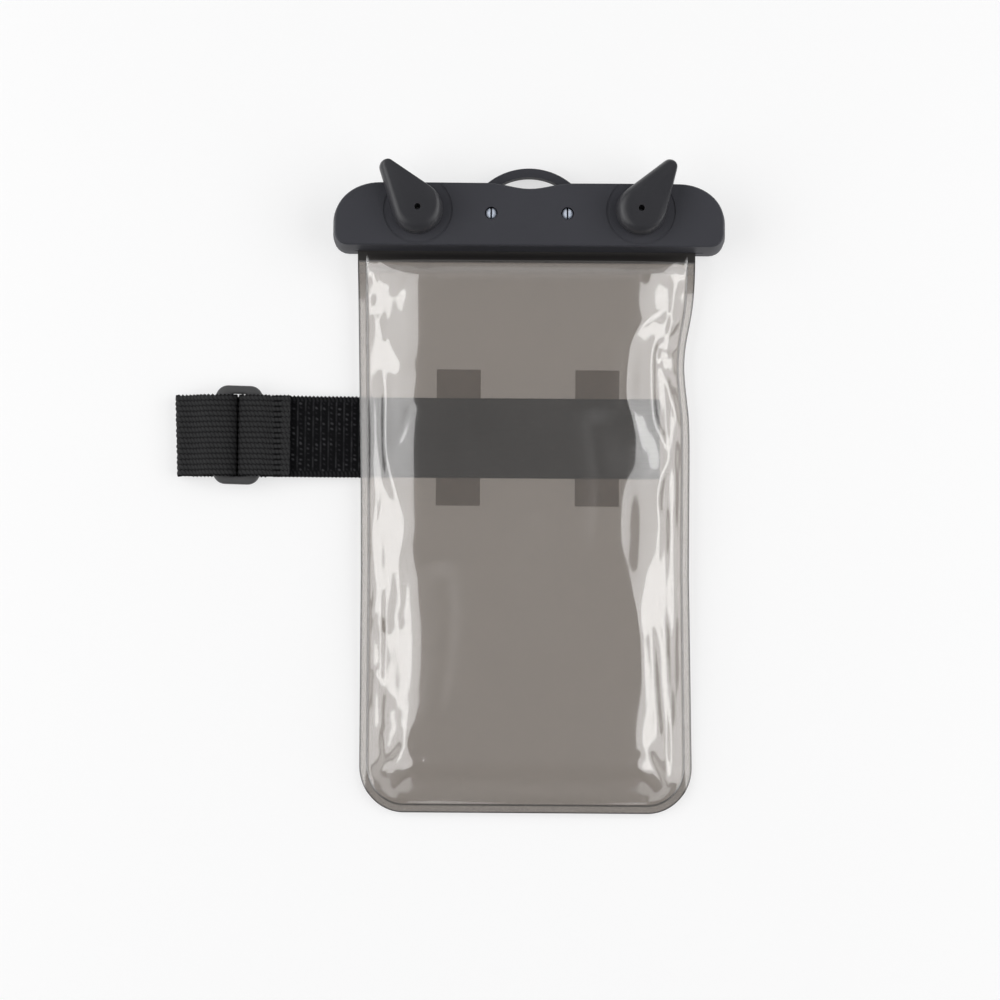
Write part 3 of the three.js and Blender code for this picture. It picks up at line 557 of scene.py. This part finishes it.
# Folds in the front film: each runs along a few points, falls off over its width and leans to one side.
folds = [
    # right margin
    {"line": [(50.9, -27), (42, -31), (35.7, -34.4), (31.9, -40.5), (30.6, -50), (30.5, -58),
              (32.5, -64.3), (34.7, -71.6), (36.6, -76)],
     "width": 2.8, "height": 1.2, "lean": 0.35, "crest": 0.45},
    {"line": [(50.9, -27.5), (45.8, -35.8), (41, -39.9), (39.8, -45.3), (39.5, -58), (40.7, -65.9),
              (43.9, -72.2), (44.8, -77), (42.6, -83.3), (41.3, -89.6), (42, -95.9), (41.7, -105),
              (41, -118)], "width": 1.9, "height": 0.84, "lean": 0.2, "crest": 0.4},
    {"line": [(41.8, -42.8), (46, -44), (51, -46)],
     "width": 1.7, "height": 0.88, "lean": 0, "crest": 0.6},
    {"line": [(43.5, -47), (47, -58), (49.5, -67)], "width": 1.4, "height": 0.6, "lean": 0, "crest": 0.4},
    {"line": [(34, -76), (29.5, -88), (29, -105), (32, -118), (35, -130), (37, -150), (40, -162)],
     "width": 3.4, "height": 0.8, "lean": 0.3, "crest": 0.9},
    {"line": [(38.8, -128), (40.4, -149.7), (42, -168)],
     "width": 1.7, "height": 0.64, "lean": 0, "crest": 0.5},
    {"line": [(43.4, -125), (44.5, -145), (45, -165)],
     "width": 1.5, "height": 0.52, "lean": 0, "crest": 0.4},
    {"line": [(36.5, -167), (40, -174), (44.5, -183)],
     "width": 1.7, "height": 0.72, "lean": 0, "crest": 0.6},
    {"line": [(46.6, -60), (47.3, -80), (47, -120), (47.6, -160)],
     "width": 1.2, "height": 0.4, "lean": 0, "crest": 0.4},
    {"line": [(36, -18.6), (43, -19.2), (49.5, -23)],
     "width": 1.9, "height": 0.72, "lean": 0, "crest": 0.7},
    # left margin
    {"line": [(-50, -20), (-44.5, -20.6), (-38.5, -22)],
     "width": 2.1, "height": 0.59, "lean": 0, "crest": 0.7},
    {"line": [(-49.5, -27), (-44, -25.5), (-38, -24)],
     "width": 1.5, "height": -0.37, "lean": 0, "crest": 0.5},
    {"line": [(-48.5, -30), (-46, -36), (-42, -44), (-38, -52)],
     "width": 3.0, "height": 0.62, "lean": 0.2, "crest": 0.9},
    {"line": [(-45.6, -46), (-45, -58), (-45, -70.6), (-43.5, -80), (-40.3, -91.2), (-37.6, -98)],
     "width": 2.3, "height": 0.74, "lean": -0.25, "crest": 0.5},
    {"line": [(-36, -59.5), (-39, -67), (-42, -75)],
     "width": 1.9, "height": -0.5, "lean": 0, "crest": 0.6},
    {"line": [(-48, -50), (-48.9, -62), (-48.6, -80), (-47.6, -90), (-49.2, -101), (-47.6, -118),
              (-49.3, -128), (-49.5, -145), (-48, -155), (-49.6, -170)],
     "width": 1.1, "height": 0.31, "lean": 0, "crest": 0.35},
    {"line": [(-38, -100), (-41, -112), (-40, -124), (-45, -132)],
     "width": 2.5, "height": 0.53, "lean": 0.2, "crest": 0.7},
    {"line": [(-48, -126), (-44, -133), (-38, -127)],
     "width": 2.1, "height": 0.46, "lean": 0, "crest": 0.6},
    {"line": [(-49, -143), (-44, -150), (-38.5, -156)],
     "width": 2.3, "height": 0.59, "lean": 0, "crest": 0.6},
    {"line": [(-46, -162), (-44, -169)], "width": 1.9, "height": 0.46, "lean": 0, "crest": 0.5},
    {"line": [(-49.5, -176), (-40, -171.5), (-31, -166), (-24, -158)],
     "width": 1.3, "height": 0.37, "lean": 0, "crest": 0.3},
    {"line": [(-36.3, -160), (-39, -170), (-44, -180)],
     "width": 1.7, "height": 0.46, "lean": 0, "crest": 0.6},
    # creases out to the bottom corners
    {"line": [(-31, -170), (-38, -177), (-44.5, -183.5)],
     "width": 2.4, "height": 0.9, "lean": 0.3, "crest": 0.5},
    {"line": [(-35, -166), (-43, -172.5), (-48.5, -178)],
     "width": 2.0, "height": 0.6, "lean": 0, "crest": 0.5},
    {"line": [(32, -171), (38.5, -178), (44, -184)],
     "width": 2.2, "height": 0.9, "lean": 0, "crest": 0.5},
    # slack over the pocket and under the clamp
    {"line": [(-27, -108), (-25.5, -130), (-28, -150), (-31, -165)],
     "width": 6, "height": 1.9, "lean": 0.3, "crest": 2.6},
    {"line": [(-14, -34), (-16, -62), (-12, -95)], "width": 5.0, "height": 0.45, "lean": 0, "crest": 1.6},
    {"line": [(4, -92), (1, -120), (6, -148)], "width": 5.0, "height": 0.9, "lean": 0, "crest": 2},
    {"line": [(20, -60), (23.5, -85), (21, -112)],
     "width": 5.5, "height": 1.5, "lean": -0.3, "crest": 2.6},
    {"line": [(-33, -15.5), (-30, -20), (-27, -25)],
     "width": 1.6, "height": 0.5, "lean": 0, "crest": 0.4},
]
foldFade = {"start": 0.16, "end": 0.22}


def curveThrough(points, steps=6):
    points = [np.array(p, float) for p in points]
    ends = [2 * points[0] - points[1], *points, 2 * points[-1] - points[-2]]
    line = []
    for a, b, c, d in zip(ends, ends[1:], ends[2:], ends[3:]):
        for t in np.arange(steps) / steps:
            line.append(0.5 * (2 * b + (c - a) * t + (2 * a - 5 * b + 4 * c - d) * t ** 2
                               + (3 * b - a - 3 * c + d) * t ** 3))
    return np.array([*line, points[-1]])


# Height that one fold adds: a narrow round crest with hollow flanks, fading at both ends.
def foldHeight(fold, x, y):
    line = curveThrough(fold["line"])
    reach = np.concatenate([[0], np.cumsum(np.hypot(*np.diff(line, axis=0).T))])
    nearest = np.full(x.shape, np.inf)
    where = np.zeros(x.shape)
    side = np.zeros(x.shape)
    for a, b, start, end in zip(line, line[1:], reach, reach[1:]):
        run = b - a
        share = np.clip(((x - a[0]) * run[0] + (y - a[1]) * run[1]) / (run @ run), 0, 1)
        gap = np.hypot(x - a[0] - share * run[0], y - a[1] - share * run[1])
        closer = gap < nearest
        nearest = np.where(closer, gap, nearest)
        where = np.where(closer, (start + share * (end - start)) / reach[-1], where)
        side = np.where(closer, np.sign((x - a[0]) * run[1] - (y - a[1]) * run[0]), side)
    fade = smoothStep(where / foldFade["start"]) * smoothStep((1 - where) / foldFade["end"])
    away = np.hypot(nearest, fold["crest"]) - fold["crest"]
    width = fold["width"] * (1 + fold["lean"] * side * np.minimum(1, nearest))
    return fold["height"] * fade * np.exp(-away / width)


flutes = {"pitch": 5.4, "height": 0.07, "wobble": 0.28, "length": 61, "turn": 1.3, "secondWobble": 0.4,
          "secondLength": 0.41, "meanSwell": 0.65, "swell": 0.35, "swellLength": 47, "swellTurn": 2}
slack = {"height": 0.2, "edge": 5, "x": 11, "y": 23, "bendX": 0.8, "bendY": 0.6, "bendXOver": 17,
         "bendYOver": 9}
mottle = {"height": 0.04, "lessOver": 0.6, "x": 2.9, "y": 4.3, "bendX": 1.7, "bendY": 1.3, "bendXOver": 8.7,
          "bendYOver": 6.1}


# Two crossed waves that bend each other.
def crossedWaves(x, y, wave):
    along = np.sin(x / wave["x"] + wave["bendX"] * np.sin(y / wave["bendXOver"]))
    return along * np.sin(y / wave["y"] + wave["bendY"] * np.sin(x / wave["bendYOver"]))


# Long shallow wrinkles beside the pocket, slack over it and faint unevenness all over.
def wrinkleHeight(x, y):
    side = np.sign(x)
    aside = np.clip((np.abs(x) - bag["pocketHalfWidth"]) / (bag["halfWidth"] - bag["pocketHalfWidth"]), 0, 1)
    wander = flutes["wobble"] * np.sin(2 * math.pi * y / flutes["length"] + side * flutes["turn"])
    secondLength = flutes["length"] * flutes["secondLength"]
    wander += flutes["secondWobble"] * flutes["wobble"] * np.sin(2 * math.pi * y / secondLength + side)
    swellAt = 2 * math.pi * y / flutes["swellLength"] + side * flutes["swellTurn"]
    swell = flutes["meanSwell"] + flutes["swell"] * np.sin(swellAt)
    ripple = np.sin(2 * math.pi * (np.abs(x) / flutes["pitch"] + wander)) * np.sin(math.pi * aside) * swell
    over = 1 - smoothStep(aside * slack["edge"])
    return (flutes["height"] * ripple + slack["height"] * crossedWaves(x, y, slack) * over
            + mottle["height"] * crossedWaves(x, y, mottle) * (1 - mottle["lessOver"] * over))


def spacing(edges, step, total):
    count = int(round((total - edges[-1]) / step))
    return np.concatenate([edges[:-1], np.linspace(edges[-1], total, count + 1)])


filmGrid = {"fromSide": [0, 0.3, 0.7, 1.3, 1.9, 2.3, 2.5, 2.7, 2.95, 3.25, 3.6, 4.1], "cornerRows": 26,
            "fromCorner": [0, 1, 2], "longer": 1.15}


# The grid's columns and rows, closest together at the weld and round the corners.
def filmPlan(lipTop, step):
    fromSide = spacing(filmGrid["fromSide"], step, bag["halfWidth"])
    across = np.concatenate([-(bag["halfWidth"] - fromSide), (bag["halfWidth"] - fromSide)[::-1][1:]])
    turned = np.linspace(math.pi / 2, 0, filmGrid["cornerRows"])
    corner = bag["bottom"] + bag["corner"] * (1 - np.sin(turned))
    straight = lipTop - bag["bottom"] - bag["corner"]
    along = spacing(filmGrid["fromCorner"], step * filmGrid["longer"], straight)[1:]
    return across, np.concatenate([corner, bag["bottom"] + bag["corner"] + along])


waist = {"left": 0.7, "right": 1.35, "above": 15, "run": 60, "leftTop": -15, "leftRun": 70, "rightTop": -40,
         "rightRun": 20}


# The edges aren't quite parallel, and the right one is drawn in where the folds pinch it.
def edgedX(x, y):
    margin = bag["halfWidth"] - bag["pocketHalfWidth"]
    aside = np.maximum(0, (np.abs(x) - bag["pocketHalfWidth"]) / margin)
    up = (y - bag["bottom"]) / (bag["mouth"] - bag["bottom"])
    near = np.exp(-((y - bag["pinchAt"]) / bag["pinchSpread"]) ** 2)
    aboveBottom = np.clip((y - bag["bottom"] - waist["above"]) / waist["run"], 0, 1)
    leftIn = waist["left"] * (aboveBottom * np.clip((waist["leftTop"] - y) / waist["leftRun"], 0, 1))
    rightIn = waist["right"] * (aboveBottom * smoothStep((waist["rightTop"] - y) / waist["rightRun"]))
    leftDrift = bag["taper"] + (-bag["flare"] - bag["taper"]) * up + leftIn
    rightDrift = -bag["taper"] * (1 - up) - bag["pinch"] * near - rightIn
    return x + aside * np.where(x < 0, leftDrift, rightDrift)


def makeFilm(name, lipTop, step, height):
    across, along = filmPlan(lipTop, step)
    film, column, row = makeSheet(name, len(across), len(along))
    y = along[row]
    x = across[column] / bag["halfWidth"] * filmHalfWidth(y)
    fromEdge = distanceFromEdge(x, y)
    writePoints(film, np.column_stack([edgedX(x, y), y, height(x, y, fromEdge)]) * mm)
    writeAttribute(film, "fromEdge", fromEdge)
    applyModifier(film, "SOLIDIFY", thickness=bag["thickness"] * mm, offset=1, use_even_offset=False)
    smoothByAngle(film, 60)
    return film


held = {"weldRun": 2.4, "clampGap": 0.5, "clampRun": 3, "beadStart": 0.05, "beadRun": 0.7, "beadEnd": 1}


# The folds die out at the weld and at the clamp, and a small bead runs along the weld.
def frontShape(x, y, fromEdge):
    fromClamp = bag["mouth"] - held["clampGap"] - y
    free = smoothStep((fromEdge - bag["weld"]) / held["weldRun"]) * smoothStep(fromClamp / held["clampRun"])
    extra = wrinkleHeight(x, y) + sum(foldHeight(fold, x, y) for fold in folds)
    bead = bag["bead"] * smoothStep((fromEdge - bag["weld"] + held["beadStart"]) / held["beadRun"])
    settled = np.maximum(frontHeight(x, y) + extra * free, rearHeight(x, y) + bag["thickness"] + bag["gap"])
    inClamp = smoothStep((y - bag["mouth"] + held["beadEnd"]) / held["beadEnd"])
    return settled + bead * (1 - inClamp)


filmSteps = {"front": 0.8, "rear": 1.4}
farFromEdge = 9.0


def makeFilms():
    smoke = filmMaterial("smoke film", smokeLook)
    clearFilm = makeFilm("clear_front_film", bag["frontLip"], filmSteps["front"], frontShape)
    finishPiece(clearFilm, filmMaterial("clear film", clearLook), "clear_film", "pouch", "front_film")
    smokeFilm = makeFilm("smoke_rear_film", bag["rearLip"], filmSteps["rear"],
                         lambda x, y, fromEdge: rearHeight(x, y))
    finishPiece(smokeFilm, smoke, "smoke_film", "pouch", "rear_film")
    for side in ("left", "right"):
        loop = refineNode(side + "_strap_loop", smoke, "smoke_film", "pouch", angle=40)
        writeAttribute(loop, "fromEdge", np.full(len(loop.data.vertices), farFromEdge))
    print("films made")


# Arm strap

strap = {"y": -69.8, "width": 25.4, "ply": 1.1, "gap": 0.15, "floor": 0.1, "fold": -111.5, "foldRun": 1.4,
         "bendRun": 4, "tail": -107.6, "rightFold": 42, "pileEnd": 31.6, "pileSeam": 0.3, "tabEnd": -75.4,
         "hemOverlap": 5.2, "hemStraight": 1, "hemRun": 12, "hemHandle": 0.42, "across": 121,
         "coarseStep": 0.9, "fineStep": 0.2227, "seenBefore": -49, "reliefRoom": 0.25, "edge": (0.965, 0.03),
         "edgeShade": 0.5, "hiddenInset": 0.5, "toothPitch": 1.23, "tooth": 0.26, "toothBias": 0.4,
         "lean": 0.02, "leanFrom": -97, "leanRun": 9, "stitchFrom": -80.7, "stitchTo": -77.9}
weave = {"ribs": 15, "ribHeight": 0.36, "ribRound": 0.7, "yarn": 1.23, "yarnHeight": 0.1, "yarnShift": 0.37,
         "yarnSlant": 0.8, "gapWidth": 1.35, "gapEdge": 0.25, "gapDark": 0.12, "twistDark": 0.22,
         "stitchBlur": 0.4, "holeEdge": 3, "holeDepth": 0.25, "flatBlur": 0.6, "flatter": 0.5, "paler": 0.6}
pile = {"columnPitch": 2.45, "loopPitch": 1.63, "lineHeight": 0.14, "loopHeight": 0.34, "threadAt": 0.12,
        "threadWidth": 0.085, "threadLight": 0.62, "threadLeast": 0.45, "loopAt": 0.52, "loopShift": 0.16,
        "loopRise": 0.3, "turn": 0.6, "turnSpread": 0.9, "loopLength": 0.5, "loopBreadth": 0.21,
        "loopLeast": 0.25, "loopPower": 1.4, "selvedge": (0.84, 0.06), "selvedgeSlant": 3,
        "selvedgeHeight": 0.08, "selvedgeLight": 0.42, "sink": 0.12}
buckle = {"x": -91.8, "length": 15, "thickness": 2.3, "foldSpacing": 0.12, "lift": 0.3, "dropStart": 0.8,
          "dropRun": 4.3, "riseStart": 2, "riseEnd": 1, "shadeLeft": 2.1, "shadeRight": 0.9, "shade": 0.75}
clothLook = {"fuzzScale": 1500, "wearScale": 70, "leastLight": 0.55, "fuzzLight": 0.5, "wearLight": 0.2,
             "roughness": 0.78, "wearShine": 0.1, "fuzzBump": 0.05}


# Webbing: the mesh has the ribs and yarns, and the lift attribute paints them lighter where the relief rises
# and darker in the valleys between: painted light and shade.
def webbingMaterial(name, dark, light):
    g = newMaterial(name)
    fuzz = g.noise(clothLook["fuzzScale"], 3)
    wear = g.noise(clothLook["wearScale"], 3)
    lit = clothLook["leastLight"] + fuzz * clothLook["fuzzLight"] + wear * clothLook["wearLight"]
    level = g.attribute("lift") * lit
    return g.finish(g.principled({
        "Base Color": g.blend(level.ease(0, 1), tint(dark), tint(light)),
        "Roughness": clothLook["roughness"] + wear * clothLook["wearShine"],
        "Specular IOR Level": 0.08, "Sheen Weight": 0.04, "Sheen Roughness": 0.5,
        "Normal": g.bump(fuzz, clothLook["fuzzBump"] * mm)}))


def arcPoints(cx, cz, radius, start, end, steps=14):
    angles = np.radians(np.linspace(start, end, steps + 1))
    return [(cx + radius * math.cos(a), cz + radius * math.sin(a)) for a in angles]


def bezierPoints(a, b, c, d, steps=14):
    a, b, c, d = (np.array(p, float) for p in (a, b, c, d))
    shares = np.arange(steps + 1) / steps
    return [tuple((1 - t) ** 3 * a + 3 * (1 - t) ** 2 * t * b + 3 * (1 - t) * t * t * c + t ** 3 * d)
            for t in shares]


# Points along a line, close together where the strap can be seen and further apart under the pouch.
def spaced(line):
    line = np.array(line, float)
    line = line[np.concatenate([[True], np.hypot(*np.diff(line, axis=0).T) > 1e-6])]
    reach = np.concatenate([[0], np.cumsum(np.hypot(*np.diff(line, axis=0).T))])
    at = [0.0]
    while at[-1] < reach[-1]:
        x, z = (np.interp(at[-1], reach, line[:, k]) for k in (0, 1))
        seen = x < strap["seenBefore"] and z > pitch + low
        at.append(at[-1] + strap["fineStep" if seen else "coarseStep"])
    at[-1] = reach[-1]
    return np.column_stack([np.interp(at, reach, line[:, k]) for k in (0, 1)]), np.array(at)


pitch = strap["ply"] + strap["gap"]
low = strap["floor"] + strap["ply"] / 2
pileLevel = low + pitch + bag["thickness"] + strap["gap"]
wrapRadius = buckle["thickness"] / 2 + strap["gap"] + strap["ply"] / 2
wrapLevel = strap["floor"] + 2 * pitch + buckle["lift"] + buckle["thickness"] / 2
overBar, underBar = wrapLevel + wrapRadius, wrapLevel - wrapRadius


def webbingLine():
    top = low + 2 * pitch
    foldRadius = (top - low) / 2
    foldAt = strap["fold"] + strap["ply"] / 2 + foldRadius
    bendAt = foldAt + strap["foldRun"]
    turnRadius = (pileLevel - low) / 2
    turnAt = strap["rightFold"] - strap["ply"] / 2 - turnRadius
    barLeft = buckle["x"] - buckle["length"] / 2
    wrapAt = buckle["x"] - buckle["foldSpacing"] / 2 - strap["ply"] / 2 - wrapRadius
    return [
        (strap["pileEnd"] + strap["pileSeam"], pileLevel),
        *arcPoints(turnAt, low + turnRadius, turnRadius, 90, -90),
        *arcPoints(foldAt, low + foldRadius, foldRadius, 270, 90),
        *bezierPoints((bendAt, top), (bendAt + strap["bendRun"], top), (barLeft - strap["bendRun"], overBar),
                      (barLeft, overBar)),
        *arcPoints(wrapAt, wrapLevel, wrapRadius, 90, -90),
        (barLeft, underBar), (strap["tail"], low + pitch)]


def tabLine():
    barRight = buckle["x"] + buckle["length"] / 2
    wrapAt = buckle["x"] + buckle["foldSpacing"] / 2 + strap["ply"] / 2 + wrapRadius
    top = low + 3 * pitch
    dropAt = barRight - buckle["dropStart"]
    dropMiddle = dropAt + buckle["dropRun"] / 2
    return [
        (strap["tabEnd"], low + pitch), (barRight + buckle["riseStart"], low + pitch),
        (barRight - buckle["riseEnd"], underBar),
        *arcPoints(wrapAt, wrapLevel, wrapRadius, 270, 90),
        *bezierPoints((dropAt, overBar), (dropMiddle, overBar), (dropMiddle, top),
                      (dropAt + buckle["dropRun"], top)),
        (strap["tabEnd"], top)]


def pileLine():
    start = low + 2 * pitch
    bendAt = strap["tabEnd"] + strap["hemStraight"]
    bendEnd = bendAt + strap["hemRun"]
    handle = strap["hemRun"] * strap["hemHandle"]
    return [
        (strap["tabEnd"] - strap["hemOverlap"], start),
        *bezierPoints((bendAt, start), (bendAt + handle, start), (bendEnd - handle, pileLevel),
                      (bendEnd, pileLevel)),
        (strap["pileEnd"], pileLevel)]


# Ribs along the strap, each a twisted yarn, with painted shade darkening the valleys between them in dashes
# and darkening the stitch holes.
def ribLift(s, share, x, z):
    ribAt = (share + 1) / 2 * weave["ribs"]
    rib = np.floor(ribAt).clip(0, weave["ribs"] - 1)
    within = ribAt - rib
    crown = np.sin(math.pi * within) ** weave["ribRound"]
    turn = s / weave["yarn"] + rib * weave["yarnShift"]
    twist = np.cos(2 * math.pi * (turn + (within - 0.5) * weave["yarnSlant"]))
    dash = 0.5 + 0.5 * np.cos(2 * math.pi * turn)
    gap = 1 - smoothStep(weave["gapWidth"] * np.sin(math.pi * within) - weave["gapEdge"])
    topPly = z > low + 2.5 * pitch
    sewn = (smoothStep((x - strap["stitchFrom"]) / weave["stitchBlur"])
            * smoothStep((strap["stitchTo"] - x) / weave["stitchBlur"]) * topPly)
    flat = smoothStep((x - strap["stitchTo"]) / weave["flatBlur"]) * topPly
    valley = (1 - crown) * (1 - weave["flatter"] * flat)
    hole = sewn * smoothStep(gap * weave["holeEdge"])
    height = (weave["ribHeight"] * (0.5 - valley) + weave["yarnHeight"] * twist * crown
              - weave["holeDepth"] * hole)
    # Painted shade on the upper plies where they dip into the buckle, reaching further on its left side.
    reach = np.where(x < buckle["x"], buckle["shadeLeft"], buckle["shadeRight"])
    between = np.exp(-np.abs(x - buckle["x"]) / reach) * (z > low + 1.5 * pitch)
    # Painted shade: the valleys between ribs go dark in dashes along the yarn, the yarn darkens where its
    # twist dips, and the stitch holes go dark; the flat sewn part gets less of it.
    dark = gap * (weave["gapDark"] + (1 - weave["gapDark"]) * dash) * (1 - weave["paler"] * flat)
    lift = (1 - dark + weave["twistDark"] * (twist - 1)) * (1 - hole) * (1 - buckle["shade"] * between)
    return height, np.clip(lift, 0, 1)


scatterBy = {"i": 12.9898, "j": 78.233, "seed": 37.719, "spread": 43758.5453}


# A value from 0 to 1 for each pair of whole numbers, the same in each run.
def scatter(i, j, seed):
    turn = i * scatterBy["i"] + j * scatterBy["j"] + seed * scatterBy["seed"]
    wild = np.sin(turn) * scatterBy["spread"]
    return wild - np.floor(wild)


# The pile has a thin thread down each column, and a row of uneven loops beside it; the threads and loops are
# painted lighter than the ground between them, a painted light and shade that follows their height.
def pileLift(s, share, x, z):
    across = share * strap["width"] / 2 / pile["loopPitch"]
    column = s / pile["columnPitch"]
    i, u = np.floor(column), column - np.floor(column)
    j, v = np.floor(across), across - np.floor(across)
    thread = np.exp(-((u - pile["threadAt"]) / pile["threadWidth"]) ** 2)
    right = pile["loopAt"] + pile["loopShift"] * (scatter(i, j, 1) - 0.5)
    up = 0.5 + pile["loopRise"] * (scatter(i, j, 2) - 0.5)
    aside, along = (u - right) * pile["columnPitch"], (v - up) * pile["loopPitch"]
    turn = pile["turn"] + pile["turnSpread"] * (scatter(i, j, 4) - 0.5)
    length = aside * np.cos(turn) - along * np.sin(turn)
    breadth = aside * np.sin(turn) + along * np.cos(turn)
    raised = pile["loopLeast"] + (1 - pile["loopLeast"]) * scatter(i, j, 3) ** pile["loopPower"]
    loop = np.exp(-(length / pile["loopLength"]) ** 2 - (breadth / pile["loopBreadth"]) ** 2) * raised
    edgeStart, edgeRun = pile["selvedge"]
    selvedge = smoothStep((np.abs(share) - edgeStart) / edgeRun)
    woven = 0.5 + 0.5 * np.cos(2 * math.pi * (s / strap["toothPitch"] + share * pile["selvedgeSlant"]))
    inner = pile["lineHeight"] * thread + pile["loopHeight"] * loop
    height = inner * (1 - selvedge) + pile["selvedgeHeight"] * woven * selvedge
    threadLight = pile["threadLeast"] + (1 - pile["threadLeast"]) * scatter(i, j, 5)
    # Painted light and shade: raised threads and loops are lighter, the ground between them is dark, and the
    # woven selvedge is lighter on its ridges.
    innerLight = np.maximum(pile["threadLight"] * thread * threadLight, loop)
    lift = innerLight * (1 - selvedge) + pile["selvedgeLight"] * woven * selvedge
    return height - pile["sink"], np.clip(lift, 0, 1)


# A strip of webbing: a grid laid along its line, with relief on its outer face and toothed edges.
def makeStrip(name, line, relief):
    points, reach = spaced(line)
    strip, column, row = makeSheet(name, len(points), strap["across"])
    along = np.gradient(points, axis=0)
    along /= np.hypot(along[:, 0], along[:, 1])[:, None]
    normal = np.column_stack([-along[:, 1], along[:, 0]])
    share = row / (strap["across"] - 1) * 2 - 1
    s = reach[column]
    height, lift = relief(s, share, points[column, 0], points[column, 1])
    edgeStart, edgeRun = strap["edge"]
    edge = smoothStep((np.abs(share) - edgeStart) / edgeRun)
    seen = (points[column, 0] < strap["seenBefore"]) & (points[column, 1] > pitch + low)
    wave = strap["toothBias"] + np.sin(2 * math.pi * s / strap["toothPitch"])
    tooth = edge * np.where(seen, strap["tooth"] * wave, -strap["hiddenInset"])
    y = strap["y"] + share * strap["width"] / 2 + np.sign(share) * tooth
    place = points[column] + normal[column] * (height * (1 - edge))[:, None]
    atFold = smoothStep((strap["leanFrom"] - place[:, 0]) / strap["leanRun"])
    leaning = strap["lean"] * share * strap["width"] * atFold * (place[:, 1] > low + pitch)
    writePoints(strip, np.column_stack([place[:, 0] - leaning, y, place[:, 1]]) * mm)
    # Painted shade: the lift is darkened along the strap's toothed edges.
    writeAttribute(strip, "lift", lift * (1 - strap["edgeShade"] * edge))
    applyModifier(strip, "SOLIDIFY", thickness=(strap["ply"] - strap["reliefRoom"]) * mm, offset=0,
                  use_even_offset=False)
    smoothByAngle(strip, 70)
    return strip


def makeStrap():
    webbing = webbingMaterial("ribbed webbing", dark=(0.0012, 0.0012, 0.0016), light=(0.040, 0.040, 0.041))
    loops = webbingMaterial("loop pile", dark=(0.0035, 0.0035, 0.0042), light=(0.06, 0.06, 0.064))
    plain = makeStrip("ribbed_webbing", webbingLine(), ribLift)
    finishPiece(plain, webbing, "webbing", "pouch", "strap_webbing")
    tab = makeStrip("sewn_buckle_tab", tabLine(), ribLift)
    finishPiece(tab, webbing, "webbing", "pouch", "buckle_tab")
    loopPile = makeStrip("loop_pile_strap", pileLine(), pileLift)
    finishPiece(loopPile, loops, "pile", "pouch", "strap_pile")
    print("strap made")


makeCamera()
makeLights()
makeFloor()
makeRigidPieces()
makeFilms()
makeStrap()

deselectAll()
